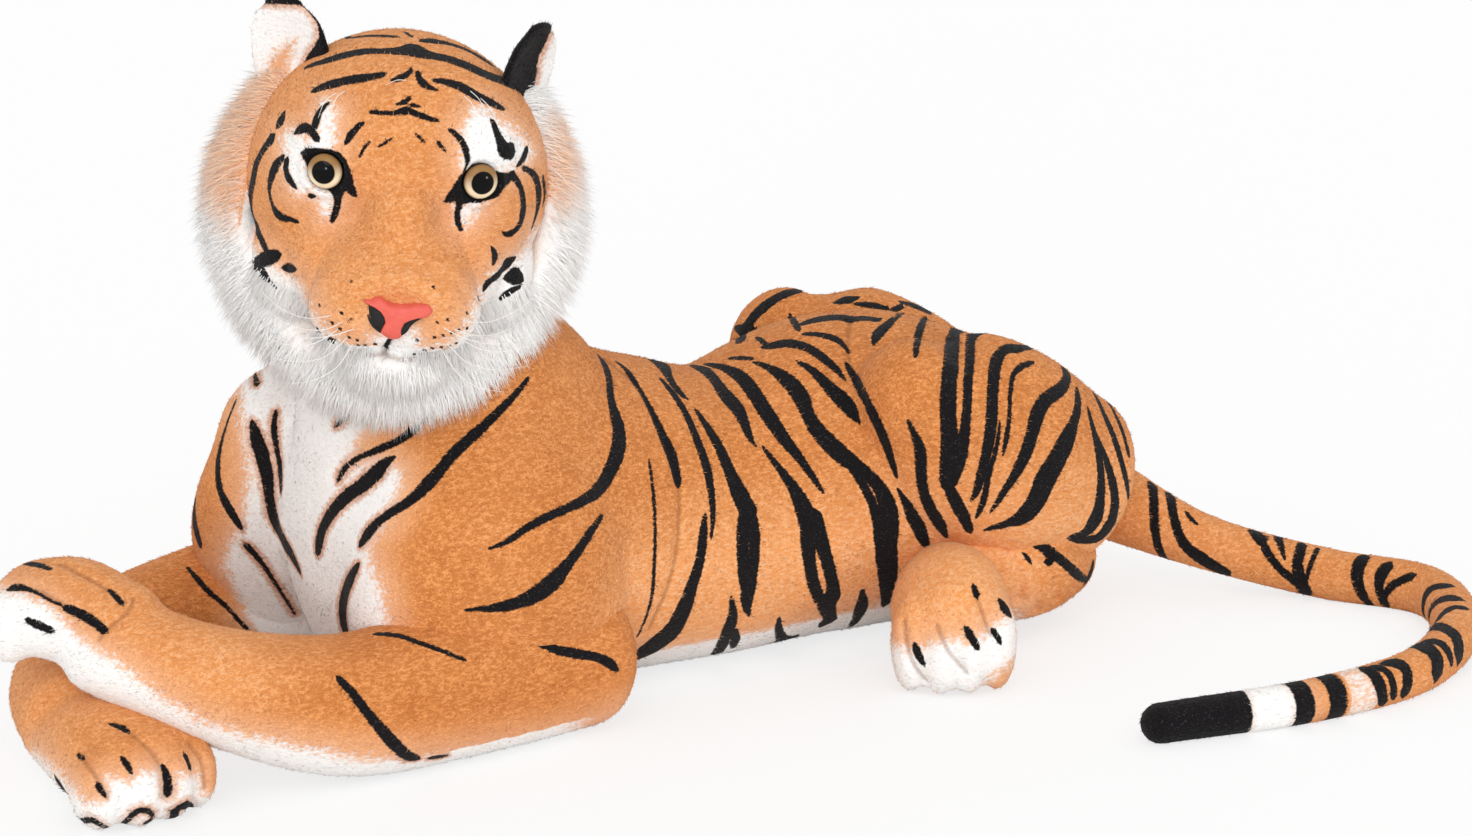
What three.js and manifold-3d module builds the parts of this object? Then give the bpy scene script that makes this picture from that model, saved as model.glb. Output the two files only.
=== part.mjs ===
// A large plush tiger, lying on its belly with its forepaws crossed and its head turned to its left.
// Sewn, stuffed pieces are lofts with elliptical sections; the safety eyes and nose are turned and moulded.
// Millimetres, +Z up, the tiger looks along -X, its left side is -Y, and the floor is at zero height.
import * as THREE from "three";
import { mergeVertices } from "three/addons/utils/BufferGeometryUtils.js";
import Module from "manifold-3d";

// Sizes of the sewn pieces.
const trunkLength = 660;
const trunkWidth = 226;
const trunkHeight = 236;
const neckWidth = 172;
const neckLength = 216;
const shoulderLength = 230;
const shoulderWidth = 116;
const shoulderHeight = 236;
const haunchLength = 262;
const haunchWidth = 124;
const haunchHeight = 236;
const shankWidth = 84;
const hindPawLength = 112;
const hindPawWidth = 98;
const hindPawHeight = 112;
const forelegLength = 330;
const forelegThickness = 88;
const forepawLength = 127;
const forepawWidth = 108;
const forepawHeight = 84;
const tailLength = 640;
const tailThickness = 44;
const headLength = 196;
const headWidth = 214;
const headHeight = 212;
const muzzleLength = 128;
const muzzleWidth = 124;
const muzzleHeight = 92;
const chinWidth = 76;
const ruffThickness = 46;
const ruffDepth = 84;
const earHeight = 57;
const earWidth = 66;
const earThickness = 16;
const earLiningThickness = 5;
const skinThickness = 4;

// Sizes of the moulded pieces.
const eyeDiameter = 26;
const eyeDomeHeight = 8;
const eyeFlangeThickness = 1.6;
const eyeSpacing = 100;
const postDiameter = 6;
const postReach = 17;
const ribDepth = 0.5;
const ribPitch = 2;
const washerDiameter = 21;
const washerThickness = 1.6;
const washerCollarHeight = 3;
const washerSlitWidth = 1;
const noseWidth = 48;
const noseHeight = 31;
const noseDepth = 16;

// Clearances: sewn pieces lie a seam apart, turning pieces a little more, and cuts run past their piece.
const seamGap = 0.35;
const turnGap = 0.8;
const headTurnGap = 0.9;
const cutOverrun = 20;

// How far the sewn and stuffed joints give, in degrees.
const headTurnRange = 12;
const forelegLiftRange = 10;
const tailBendRange = 20;

const wasm = await Module();
wasm.setup();

// Solids and geometries.
function solidOf(geometry) {
  const bare = new THREE.BufferGeometry();
  const loose = geometry.index ? geometry.toNonIndexed() : geometry;
  bare.setAttribute("position", loose.getAttribute("position"));
  const merged = mergeVertices(bare);
  return new wasm.Manifold(
    new wasm.Mesh({
      numProp: 3,
      vertProperties: new Float32Array(merged.attributes.position.array),
      triVerts: new Uint32Array(merged.index.array),
    }),
  );
}

function geometryOf(solid) {
  const mesh = solid.getMesh();
  const positions = new Float32Array(mesh.numVert * 3);
  for (let i = 0; i < mesh.numVert; i++) {
    const start = i * mesh.numProp;
    positions.set(mesh.vertProperties.subarray(start, start + 3), i * 3);
  }
  const geometry = new THREE.BufferGeometry();
  geometry.setAttribute("position", new THREE.BufferAttribute(positions, 3));
  geometry.setIndex(new THREE.BufferAttribute(new Uint32Array(mesh.triVerts), 1));
  geometry.computeVertexNormals();
  return geometry;
}

// The largest body of a solid, without the slivers that a cut can leave beside it.
function mainBody(solid) {
  return solid.decompose().reduce((most, body) => (body.volume() > most.volume() ? body : most));
}

function joined(...solids) {
  return solids.reduce((sum, solid) => sum.add(solid));
}

function cut(solid, ...tools) {
  return mainBody(tools.reduce((rest, tool) => rest.subtract(tool), solid));
}

function moved(solid, matrix) {
  return solid.transform([...matrix.elements]);
}

// A closed loft: elliptical sections on a smooth line through the stations, with a domed cap at each end.
// A station is { at, wide, high } with half sizes to the section's flats, and grow makes the loft fatter.
function stuffedTube(stations, { sides, rings, caps, up = [0, 0, 1], capRings = 3, grow = 0 }) {
  const line = new THREE.CatmullRomCurve3(
    stations.map((station) => station.at),
    false,
    "centripetal",
  );
  const girth = new THREE.CatmullRomCurve3(
    stations.map((station) => new THREE.Vector3(station.wide, station.high, 0)),
    false,
    "catmullrom",
  );
  const upward = new THREE.Vector3(...up);
  const flatsOut = 1 / Math.cos(Math.PI / sides);
  const sections = [];
  const addSection = (share, along, fullness) => {
    const heading = line.getTangent(share);
    const size = girth.getPoint(share);
    const side = new THREE.Vector3().crossVectors(upward, heading).normalize();
    const rise = new THREE.Vector3().crossVectors(heading, side);
    sections.push({
      centre: line.getPoint(share).addScaledVector(heading, along),
      side: side.multiplyScalar((size.x + grow) * fullness * flatsOut),
      rise: rise.multiplyScalar((size.y + grow) * fullness * flatsOut),
    });
  };
  const capAngle = (ring) => ((ring / capRings) * Math.PI) / 2;
  const depths = caps.map((depth) => depth + grow);
  for (let ring = 1; ring < capRings; ring++) {
    addSection(0, -depths[0] * Math.cos(capAngle(ring)), Math.sin(capAngle(ring)));
  }
  for (let ring = 0; ring <= rings; ring++) {
    addSection(ring / rings, 0, 1);
  }
  for (let ring = capRings - 1; ring > 0; ring--) {
    addSection(1, depths[1] * Math.cos(capAngle(ring)), Math.sin(capAngle(ring)));
  }

  const points = [line.getPoint(0).addScaledVector(line.getTangent(0), -depths[0])];
  for (const { centre, side, rise } of sections) {
    for (let i = 0; i < sides; i++) {
      const angle = (i / sides) * Math.PI * 2;
      const point = centre.clone().addScaledVector(side, Math.cos(angle));
      points.push(point.addScaledVector(rise, Math.sin(angle)));
    }
  }
  points.push(line.getPoint(1).addScaledVector(line.getTangent(1), depths[1]));

  const faces = [];
  const corner = (ring, i) => 1 + ring * sides + (i % sides);
  const lastRing = sections.length - 1;
  for (let i = 0; i < sides; i++) {
    faces.push(0, corner(0, i + 1), corner(0, i));
    faces.push(points.length - 1, corner(lastRing, i), corner(lastRing, i + 1));
    for (let ring = 0; ring < lastRing; ring++) {
      const [a, b] = [corner(ring, i), corner(ring, i + 1)];
      const [c, d] = [corner(ring + 1, i), corner(ring + 1, i + 1)];
      faces.push(a, b, d, a, d, c);
    }
  }
  const geometry = new THREE.BufferGeometry().setFromPoints(points);
  geometry.setIndex(faces);
  return solidOf(geometry);
}

// Stations from a table of shares. A row is x, y and z, then the half width and the half height:
// x and z follow the length and the height, and y and the half width follow the width.
function stationsOf(shares, { length, width, height, side = 1, origin = new THREE.Vector3() }) {
  return shares.map(([x, y, z, wide, high]) => ({
    at: new THREE.Vector3(x * length, y * width * side, z * height).add(origin),
    wide: wide * width,
    high: high * height,
  }));
}

function pointOf([x, y, z], length, width, height) {
  return new THREE.Vector3(x * length, y * width, z * height);
}

function eulerOf({ yaw = 0, pitch = 0, roll = 0 }) {
  const [x, y, z] = [roll, pitch, yaw].map((angle) => THREE.MathUtils.degToRad(angle));
  return new THREE.Euler(x, y, z, "ZYX");
}

function placement(at, turns) {
  return new THREE.Matrix4().makeRotationFromEuler(eulerOf(turns)).setPosition(at);
}

// Where a straight line from inside a solid comes out of its surface.
function surfacePoint(solid, from, direction) {
  const mesh = new THREE.Mesh(geometryOf(solid), new THREE.MeshBasicMaterial({ side: THREE.DoubleSide }));
  const hits = new THREE.Raycaster(from, direction.clone().normalize()).intersectObject(mesh);
  return hits[hits.length - 1].point;
}

// A smooth egg with its half sizes along X, Y and Z.
function egg(centre, halfSizes, sides) {
  const sphere = new THREE.SphereGeometry(1, sides, Math.max(4, sides / 2)).rotateX(Math.PI / 2);
  sphere.scale(...halfSizes);
  sphere.translate(centre.x, centre.y, centre.z);
  return solidOf(sphere);
}

// Turns a profile of [radius, height] points about Z.
function turned(profile, segments) {
  const lathe = new THREE.LatheGeometry(
    profile.map(([radius, height]) => new THREE.Vector2(radius, height)),
    segments,
  );
  return solidOf(lathe.rotateX(Math.PI / 2));
}

// The ground under the floor's height, by which each resting piece is cut flat.
const groundSpan = 4 * (trunkLength + forelegLength + tailLength);
const ground = solidOf(
  new THREE.BoxGeometry(groundSpan, groundSpan, groundSpan).translate(0, 0, -groundSpan / 2),
);

// What a solid sweeps through while it turns about an axis through a point, over some degrees.
function sweep(solid, pivot, axis, degrees) {
  const turns = degrees.map((angle) => {
    const turn = new THREE.Matrix4().makeRotationAxis(axis, THREE.MathUtils.degToRad(angle));
    const there = new THREE.Matrix4().makeTranslation(...pivot);
    const back = new THREE.Matrix4().makeTranslation(...pivot.clone().negate());
    return moved(solid, there.multiply(turn).multiply(back));
  });
  return joined(...turns);
}
const upAxis = new THREE.Vector3(0, 0, 1);
const turnStepShares = [-1, -0.5, 0, 0.5, 1];

// Materials.
function finish(color, roughness) {
  return new THREE.MeshStandardMaterial({ color, roughness, metalness: 0 });
}
const orangePlush = finish(0xdd9350, 0.95);
const whitePlush = finish(0xf1ede8, 0.95);
const blackPlush = finish(0x1d1b1c, 0.95);
const amberPlastic = finish(0xd8a763, 0.15);
const rosePlastic = finish(0xef6b5c, 0.4);
const clearPlastic = finish(0xe9e7e1, 0.45);

const tiger = new THREE.Group();

function place(parent, name, solid, material) {
  const mesh = new THREE.Mesh(geometryOf(solid), material.clone());
  mesh.name = name;
  parent.add(mesh);
}

// Trunk: low at the waist, high at the hips and the withers.
const trunkShares = [
  [0.43, 0, 0.45, 0.4, 0.39],
  [0.31, 0, 0.488, 0.5, 0.49],
  [0.15, 0, 0.548, 0.49, 0.55],
  [-0.02, 0, 0.488, 0.49, 0.49],
  [-0.17, 0, 0.538, 0.52, 0.54],
  [-0.32, -0.05, 0.6, 0.54, 0.602],
  [-0.46, -0.1, 0.57, 0.5, 0.54],
];
const trunkCapShares = [0.26, 0.24];

function trunkForm(grow) {
  const stations = stationsOf(trunkShares, {
    length: trunkLength,
    width: trunkWidth,
    height: trunkHeight,
  });
  return stuffedTube(stations, {
    sides: 16,
    rings: 8,
    caps: trunkCapShares.map((share) => share * trunkWidth),
    grow,
  });
}

// Neck: a broad slope from the withers and the chest up to the head.
const neckShares = [
  [-0.325, -0.03, 0.72, 0.68, 0.55],
  [-0.37, -0.06, 0.95, 0.6, 0.56],
  [-0.415, -0.12, 1.22, 0.5, 0.43],
];
const neckCapShares = [0.3, 0.2];
const headPivot = pointOf(neckShares[2], trunkLength, trunkWidth, trunkHeight);

function neckForm(grow) {
  const stations = neckShares.map(([x, y, z, wide, long]) => ({
    at: pointOf([x, y, z], trunkLength, trunkWidth, trunkHeight),
    wide: wide * neckWidth,
    high: long * neckLength,
  }));
  return stuffedTube(stations, {
    sides: 14,
    rings: 3,
    capRings: 2,
    caps: neckCapShares.map((share) => share * neckWidth),
    up: [1, 0, 0],
    grow,
  });
}

// Shoulders with the upper arms, from the withers down to the elbows. The left elbow lies back
// against the flank, and the right one reaches forward and out. A row is x, outward and z, then half sizes.
const shoulderShares = {
  left: [
    [0.06, -0.14, 0.92, 0.42, 0.32],
    [0.06, -0.02, 0.72, 0.5, 0.44],
    [0.12, 0.02, 0.46, 0.54, 0.5],
    [0.28, 0, 0.31, 0.47, 0.33],
  ],
  right: [
    [-0.14, 0.04, 0.92, 0.46, 0.34],
    [-0.11, 0.14, 0.7, 0.52, 0.42],
    [-0.13, 0.36, 0.44, 0.54, 0.42],
    [-0.15, 0.54, 0.27, 0.5, 0.34],
  ],
};
const shoulderPlaceShares = [-0.405, 0.42];
const shoulderCapShares = [0.3, 0.3];

function shoulderForm(name, side, grow) {
  const [x, outward] = shoulderPlaceShares;
  const origin = pointOf([x, side * outward, 0], trunkLength, trunkWidth, 0);
  const stations = shoulderShares[name].map(([forward, out, z, wide, long]) => ({
    at: pointOf([forward, out * side, z], shoulderLength, shoulderWidth, shoulderHeight).add(origin),
    wide: wide * shoulderWidth,
    high: long * shoulderLength,
  }));
  return stuffedTube(stations, {
    sides: 12,
    rings: 4,
    caps: shoulderCapShares.map((share) => share * shoulderWidth),
    up: [1, 0, 0],
    capRings: 2,
    grow,
  });
}

// Haunches: the folded thighs, with the knees in front and high.
const haunchShares = [
  [-0.34, 0.06, 0.92, 0.34, 0.2],
  [-0.18, 0.02, 0.78, 0.44, 0.34],
  [0.06, 0, 0.62, 0.5, 0.36],
  [0.3, -0.06, 0.5, 0.44, 0.3],
];
const haunchPlaceShares = [0.3, 0.4];
const haunchCapShares = [0.3, 0.4];

function haunchForm(side, grow) {
  const [x, outward] = haunchPlaceShares;
  const origin = pointOf([x, side * outward, 0], trunkLength, trunkWidth, 0);
  const stations = stationsOf(haunchShares, {
    length: haunchLength,
    width: haunchWidth,
    height: haunchHeight,
    side,
    origin,
  });
  return stuffedTube(stations, {
    sides: 12,
    rings: 4,
    caps: haunchCapShares.map((share) => share * haunchWidth),
    capRings: 2,
    grow,
  });
}
const sides = { left: -1, right: 1 };

// Paws: a pad that widens to the front, with four stitched toes.
const pawShares = [
  [0.1, 0, 0.44, 0.4, 0.42],
  [0.45, 0, 0.478, 0.48, 0.48],
  [0.74, 0, 0.42, 0.44, 0.42],
];
const pawCapShares = [0.3, 0.2];
const toeRowShares = [-0.34, -0.114, 0.114, 0.34];
const toeReachShares = [0.74, 0.82, 0.82, 0.74];
const toeHalfShares = [0.21, 0.162, 0.36];
const toeHeightShare = 0.355;
const toeSides = 7;
const toeRings = 4;

function pawForm({ length, width, height }, { at, yaw, pitch = 0, roll = 0 }, grow) {
  const toes = toeRowShares.map((row, i) => {
    const toe = new THREE.SphereGeometry(1, toeSides, toeRings);
    const half = pointOf(toeHalfShares, length, width, height).addScalar(grow);
    const at = pointOf([toeReachShares[i], row, toeHeightShare], length, width, height);
    return solidOf(toe.scale(...half).translate(...at));
  });
  const pad = stuffedTube(stationsOf(pawShares, { length, width, height }), {
    sides: 8,
    rings: 2,
    caps: pawCapShares.map((share) => share * length),
    capRings: 2,
    grow,
  });
  return moved(joined(pad, ...toes), placement(at, { yaw, pitch, roll }));
}

// Hind legs: a shank along the floor from the rump, and a foot turned out at its end.
const hindHeelShares = [0.255, 0.4, 0.72];
const hindShankMiddleShares = [0.33, 0.44, 0.72];
const hindHockShares = [0.4, 0.34, 0.66];
const hindPawPlaceShares = [0.21, 0.5, 0];
const hindPawTurn = 62;
const shankHalfShares = [0.53, 0.53, 0.47];
const shankCapShares = [0.3, 0.36];

function shankForm(side, grow) {
  const route = [hindHeelShares, hindShankMiddleShares, hindHockShares];
  const stations = route.map(([x, outward, z], i) => ({
    at: pointOf([x, outward * side, 0], trunkLength, trunkWidth, 0).setZ(z * shankWidth),
    wide: shankHalfShares[i] * shankWidth,
    high: shankHalfShares[i] * shankWidth,
  }));
  return stuffedTube(stations, {
    sides: 10,
    rings: 3,
    capRings: 2,
    caps: shankCapShares.map((share) => share * shankWidth),
    grow,
  });
}

function hindPawForm(side, grow) {
  const [x, outward] = hindPawPlaceShares;
  const at = pointOf([x, outward * side, 0], trunkLength, trunkWidth, 0);
  const sizes = { length: hindPawLength, width: hindPawWidth, height: hindPawHeight };
  return pawForm(sizes, { at, yaw: 180 - side * hindPawTurn }, grow);
}

// Forelegs lie crossed, the left on the right. A row is x and y from the elbow in shares of the foreleg's
// length, then the height, half width and half height in shares of its thickness.
const elbowShares = { left: [-0.34, -0.5], right: [-0.4, 0.68] };
const forelegShares = {
  left: [
    [0.13, 0.02, 0.635, 0.6, 0.64],
    [-0.2, -0.025, 0.655, 0.58, 0.66],
    [-0.5, -0.05, 0.67, 0.53, 0.6],
    [-0.78, 0.0, 0.98, 0.5, 0.48],
    [-0.98, 0.12, 1.34, 0.44, 0.42],
  ],
  right: [
    [-0.06, -0.04, 0.74, 0.6, 0.68],
    [-0.28, 0.02, 0.58, 0.54, 0.58],
    [-0.58, -0.08, 0.52, 0.52, 0.522],
    [-0.8, -0.34, 0.5, 0.54, 0.502],
    [-0.86, -0.57, 0.5, 0.54, 0.502],
  ],
};
const forelegCapShares = [0.4, 0.3];
const elbowHeightShare = 0.68;

function elbowPoint(name) {
  return pointOf([...elbowShares[name], 0], trunkLength, trunkWidth, 0);
}

function forelegForm(name, grow) {
  const elbow = elbowPoint(name);
  const stations = forelegShares[name].map(([x, y, z, wide, high]) => ({
    at: new THREE.Vector3(x * forelegLength, y * forelegLength, z * forelegThickness).add(elbow),
    wide: wide * forelegThickness,
    high: high * forelegThickness,
  }));
  return stuffedTube(stations, {
    sides: 10,
    rings: 6,
    capRings: 2,
    caps: forelegCapShares.map((share) => share * forelegThickness),
    grow,
  });
}

// A forepaw starts at its wrist, a share of the foreleg's length from the elbow.
const wristShares = { left: [-0.94, 0.12, 0.27], right: [-0.87, -0.57, 0] };
const forepawTurns = {
  left: { yaw: 128, pitch: -6, roll: -8 },
  right: { yaw: -84 },
};

function forepawForm(name, grow) {
  const elbow = elbowPoint(name);
  const at = pointOf(wristShares[name], forelegLength, forelegLength, forelegLength).add(elbow);
  const sizes = { length: forepawLength, width: forepawWidth, height: forepawHeight };
  return pawForm(sizes, { at, ...forepawTurns[name] }, grow);
}

// Tail: three stuffed lengths in a curl beside the rump, each with a round end in the socket before it.
// A row is x and y from the root in shares of the tail's length, then height and half thickness.
const tailShares = [
  [
    [0, 0, 1.8, 0.8],
    [0.095, -0.11, 1.05, 0.52],
    [0.225, -0.21, 0.5, 0.48],
  ],
  [
    [0.225, -0.21, 0.47, 0.48],
    [0.295, -0.33, 0.46, 0.47],
    [0.235, -0.46, 0.44, 0.45],
    [0.1, -0.555, 0.4, 0.41],
  ],
  [
    [0.1, -0.555, 0.4, 0.41],
    [-0.065, -0.575, 0.37, 0.38],
    [-0.275, -0.545, 0.34, 0.35],
  ],
];
const tailAim = new THREE.Vector3(1, -0.1, 0.1).normalize();
const tailFromShares = [0.36, 0, 0.28];

const tailNames = ["tail_root", "tail_middle", "tail_tip"];
const tailSides = 10;
const tailSocketSides = 14;

function tailForm(index, root, grow) {
  const stations = tailShares[index].map(([x, y, z, half]) => ({
    at: new THREE.Vector3(x * tailLength, y * tailLength, z * tailThickness).add(root),
    wide: half * tailThickness,
    high: half * tailThickness,
  }));
  const last = stations[stations.length - 1];
  const isTip = index === tailShares.length - 1;
  if (!isTip) {
    const before = stations[stations.length - 2].at;
    const reach = last.at.distanceTo(before);
    last.at.lerp(before, tailSetback(last.wide) / reach);
  }
  return stuffedTube(stations, {
    sides: tailSides,
    rings: 4,
    capRings: 2,
    caps: [stations[0].wide, isTip ? last.wide : 0],
    grow,
  });
}

// How far a length of tail stops before the joint that follows, so that the next one can swing.
function tailSetback(radius) {
  return radius * Math.sin(THREE.MathUtils.degToRad(tailBendRange)) + turnGap;
}

function tailJoint(index, root) {
  const [x, y, z, half] = tailShares[index][0];
  const at = new THREE.Vector3(x * tailLength, y * tailLength, z * tailThickness).add(root);
  return { at, radius: half * tailThickness };
}

function tailSocket(index, root) {
  const { at, radius } = tailJoint(index, root);
  const flatsOut = 1 / Math.cos(Math.PI / tailSocketSides) ** 2;
  const gap = index === 0 ? turnGap : seamGap;
  const room = (radius / Math.cos(Math.PI / tailSides) + gap) * flatsOut;
  return egg(at, [room, room, room], tailSocketSides);
}

// Body: the trunk first, and each piece is cut by the larger ones that it is sewn to.
const trunkSeat = trunkForm(seamGap);
const tailRadius = tailShares[0][0][3] * tailThickness;
const tailFrom = pointOf(tailFromShares, trunkLength, trunkWidth, trunkHeight);
const tailHit = surfacePoint(trunkForm(0), tailFrom, tailAim);
const tailRoot = tailHit.addScaledVector(tailAim, tailSetback(tailRadius)).setZ(0);

place(tiger, "torso", cut(trunkForm(0), tailSocket(0, tailRoot), ground), orangePlush);
place(tiger, "neck", cut(neckForm(0), trunkSeat), orangePlush);
const bodySeats = [trunkSeat, neckForm(seamGap)];
for (const [name, side] of Object.entries(sides)) {
  place(tiger, `shoulder_${name}`, cut(shoulderForm(name, side, 0), ...bodySeats, ground), orangePlush);
  place(tiger, `haunch_${name}`, cut(haunchForm(side, 0), trunkSeat, ground), orangePlush);
}
for (const [name, side] of Object.entries(sides)) {
  bodySeats.push(shoulderForm(name, side, seamGap), haunchForm(side, seamGap));
}
for (const [name, side] of Object.entries(sides)) {
  place(tiger, `hind_shank_${name}`, cut(shankForm(side, 0), ...bodySeats, ground), orangePlush);
  const shankSeat = shankForm(side, seamGap);
  place(tiger, `hind_paw_${name}`, cut(hindPawForm(side, 0), ...bodySeats, shankSeat, ground), orangePlush);
}

// The right foreleg is sewn on, and the left one gives at its elbow and clears what it lies on.
place(tiger, "foreleg_right", cut(forelegForm("right", 0), ...bodySeats, ground), orangePlush);
const rightForelegSeat = forelegForm("right", seamGap);
place(tiger, "forepaw_right", cut(forepawForm("right", 0), rightForelegSeat, ground), orangePlush);
const elbowPivot = elbowPoint("left").setZ(elbowHeightShare * forelegThickness);
const levelAxis = new THREE.Vector3(0, 1, 0);
const shoulderSweep = sweep(
  joined(trunkForm(turnGap), neckForm(turnGap), shoulderForm("left", sides.left, turnGap)),
  elbowPivot,
  levelAxis,
  [0, -forelegLiftRange],
);
const crossedSeats = [shoulderSweep, forelegForm("right", turnGap), forepawForm("right", turnGap), ground];
place(tiger, "foreleg_left", cut(forelegForm("left", 0), ...crossedSeats), orangePlush);
place(
  tiger,
  "forepaw_left",
  cut(forepawForm("left", 0), ...crossedSeats, forelegForm("left", seamGap)),
  orangePlush,
);

tailShares.forEach((_, index) => {
  const tools = [ground];
  if (index === 0) {
    const rump = joined(trunkForm(turnGap), haunchForm(sides.left, turnGap));
    tools.push(rump.subtract(tailSocket(0, tailRoot)));
  }
  if (index < tailShares.length - 1) {
    tools.push(tailSocket(index + 1, tailRoot));
  }
  place(tiger, tailNames[index], cut(tailForm(index, tailRoot, 0), ...tools), orangePlush);
});

// Head, in a frame of its own: +X out of the face, +Y to the tiger's left.
const headGroup = new THREE.Group();
const headTurns = { yaw: -114, pitch: 6, roll: -5.3 };
const headSeatShares = [-0.08, -0.045, 0.6];
headGroup.position.copy(headPivot).add(pointOf(headSeatShares, headHeight, headHeight, headHeight));
headGroup.quaternion.setFromEuler(eulerOf(headTurns));
headGroup.updateMatrix();
tiger.add(headGroup);

const skullShares = [
  [-0.3, 0, 0, 0.38, 0.4],
  [-0.1, 0, 0.02, 0.49, 0.49],
  [0.14, 0, 0.02, 0.5, 0.5],
  [0.34, 0, -0.04, 0.42, 0.42],
];
const skullCapShares = [0.2, 0.14];

function skullForm(grow) {
  return stuffedTube(
    stationsOf(skullShares, { length: headLength, width: headWidth, height: headHeight }),
    { sides: 16, rings: 4, capRings: 2, caps: skullCapShares.map((share) => share * headLength), grow },
  );
}

const muzzleShares = [
  [0.24, 0, 0, 0.4, 0.6],
  [0.6, 0, -0.3, 0.42, 0.5],
  [1.0, 0, -0.5, 0.46, 0.4],
  [1.1, 0, -0.52, 0.4, 0.34],
];
const muzzleCapShares = [0.1, 0.12];

function muzzleForm(grow) {
  return stuffedTube(
    stationsOf(muzzleShares, { length: muzzleLength, width: muzzleWidth, height: muzzleHeight }),
    { sides: 12, rings: 3, capRings: 2, caps: muzzleCapShares.map((share) => share * muzzleLength), grow },
  );
}

const chinPlaceShares = [0.86, 0, -0.98];
const chinHalfShares = [0.5, 0.5, 0.3];
const chinSides = 10;

function chinForm(grow) {
  const centre = pointOf(chinPlaceShares, muzzleLength, muzzleWidth, muzzleHeight);
  return egg(centre, chinHalfShares.map((share) => share * chinWidth + grow), chinSides);
}

// Ruff: long fur in an arc behind the cheeks and under the chin. A row is x, outward and z in shares of
// the head's sizes, then half sizes in shares of the ruff's thickness and depth.
const cheekRuffShares = [
  [-0.12, 0.44, 0.28, 0.3, 0.34],
  [-0.12, 0.53, 0.06, 0.46, 0.5],
  [-0.08, 0.55, -0.18, 0.5, 0.5],
  [0.06, 0.45, -0.42, 0.5, 0.5],
];
const throatRuffShares = [
  [0.13, 0.4, -0.47, 0.5, 0.46],
  [0.3, 0.22, -0.58, 0.54, 0.46],
  [0.38, 0, -0.62, 0.56, 0.46],
  [0.3, -0.22, -0.58, 0.54, 0.46],
  [0.13, -0.4, -0.47, 0.5, 0.46],
];
const ruffCapShares = [0.5, 0.5];

function ruffForm(shares, side, grow) {
  const stations = shares.map(([x, outward, z, thick, deep]) => ({
    at: pointOf([x, outward * side, z], headLength, headWidth, headHeight),
    wide: thick * ruffThickness,
    high: deep * ruffDepth,
  }));
  return stuffedTube(stations, {
    sides: 8,
    rings: 3,
    caps: ruffCapShares.map((share) => share * ruffThickness),
    up: [1, 0, 0],
    capRings: 2,
    grow,
  });
}

// A frame on a surface: +Z out of it along an axis, +Y upward and +X to the tiger's left.
function seatFrame(at, axis) {
  const outward = axis.clone().normalize();
  const level = new THREE.Vector3().crossVectors(upAxis, outward).normalize();
  const upward = new THREE.Vector3().crossVectors(outward, level);
  return new THREE.Matrix4().makeBasis(level, upward, outward).setPosition(at);
}

// Ears: a cupped shell of two fabrics, with a pale lining in the cup.
const earFootShares = { left: [-0.06, 0.76, 0.63], right: [-0.06, 0.7, 0.68] };
const earLean = new THREE.Vector3(0.05, 0.2, 1).normalize();
const earTurns = { left: 56, right: -34 };
const earShares = [
  [-0.12, 0.5, 0.5],
  [0.3, 0.5, 0.5],
  [0.66, 0.42, 0.42],
  [0.86, 0.24, 0.3],
];
const earCapShares = [0.06, 0.12];
const earCupSides = 10;
const earCupShares = { out: 0.62, up: 0.42, half: [0.75, 0.4, 0.5] };

function earFrame(name, side) {
  const foot = mirroredOver(new THREE.Vector3(...earFootShares[name]), side);
  const at = surfacePoint(skullForm(0), new THREE.Vector3(), foot);
  const upward = mirroredOver(earLean, side);
  const facing = new THREE.Vector3(1, 0, 0).applyEuler(eulerOf({ yaw: earTurns[name] }));
  const level = new THREE.Vector3().crossVectors(upward, facing).normalize();
  return new THREE.Matrix4().makeBasis(level.clone().cross(upward), level, upward).setPosition(at);
}

function mirroredOver(vector, side) {
  return new THREE.Vector3(vector.x, vector.y * side, vector.z);
}

function earShell(grow) {
  const stations = earShares.map(([z, wide, thick]) => ({
    at: new THREE.Vector3(0, 0, z * earHeight),
    wide: wide * earWidth,
    high: thick * earThickness,
  }));
  return stuffedTube(stations, {
    sides: 10,
    rings: 3,
    caps: earCapShares.map((share) => share * earHeight),
    up: [1, 0, 0],
    capRings: 2,
    grow,
  });
}

function earCup(forward) {
  const { out, up, half } = earCupShares;
  const centre = new THREE.Vector3(out * earThickness + forward, 0, up * earHeight);
  return egg(centre, [half[0] * earThickness, half[1] * earWidth, half[2] * earHeight], earCupSides);
}

// Safety eyes and nose: each has a ribbed post through the skin, and a slit washer pressed onto it behind.
const postRadius = postDiameter / 2;
const postTipShare = 0.6;
const turnedSegments = 16;

function postProfile() {
  const ribs = Math.floor((postReach - skinThickness) / ribPitch);
  const profile = [
    [0, -postReach],
    [postTipShare * postRadius, -postReach],
  ];
  for (let rib = 0; rib < ribs; rib++) {
    const height = -postReach + (rib + 0.5) * ribPitch;
    profile.push([postRadius, height], [postRadius - ribDepth, height + ribPitch / 2]);
  }
  return profile;
}
const eyeRadius = eyeDiameter / 2;
const eyeDomeShares = [0.2, 0.4, 0.6, 0.8];

function eyeForm() {
  const top = eyeFlangeThickness;
  const dome = eyeDomeShares.map((share) => {
    const angle = (share * Math.PI) / 2;
    return [eyeRadius * Math.cos(angle), top + eyeDomeHeight * Math.sin(angle)];
  });
  return turned(
    [
      ...postProfile(),
      [postRadius - ribDepth, 0],
      [eyeRadius, 0],
      [eyeRadius, top],
      ...dome,
      [0, top + eyeDomeHeight],
    ],
    turnedSegments,
  );
}

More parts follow.
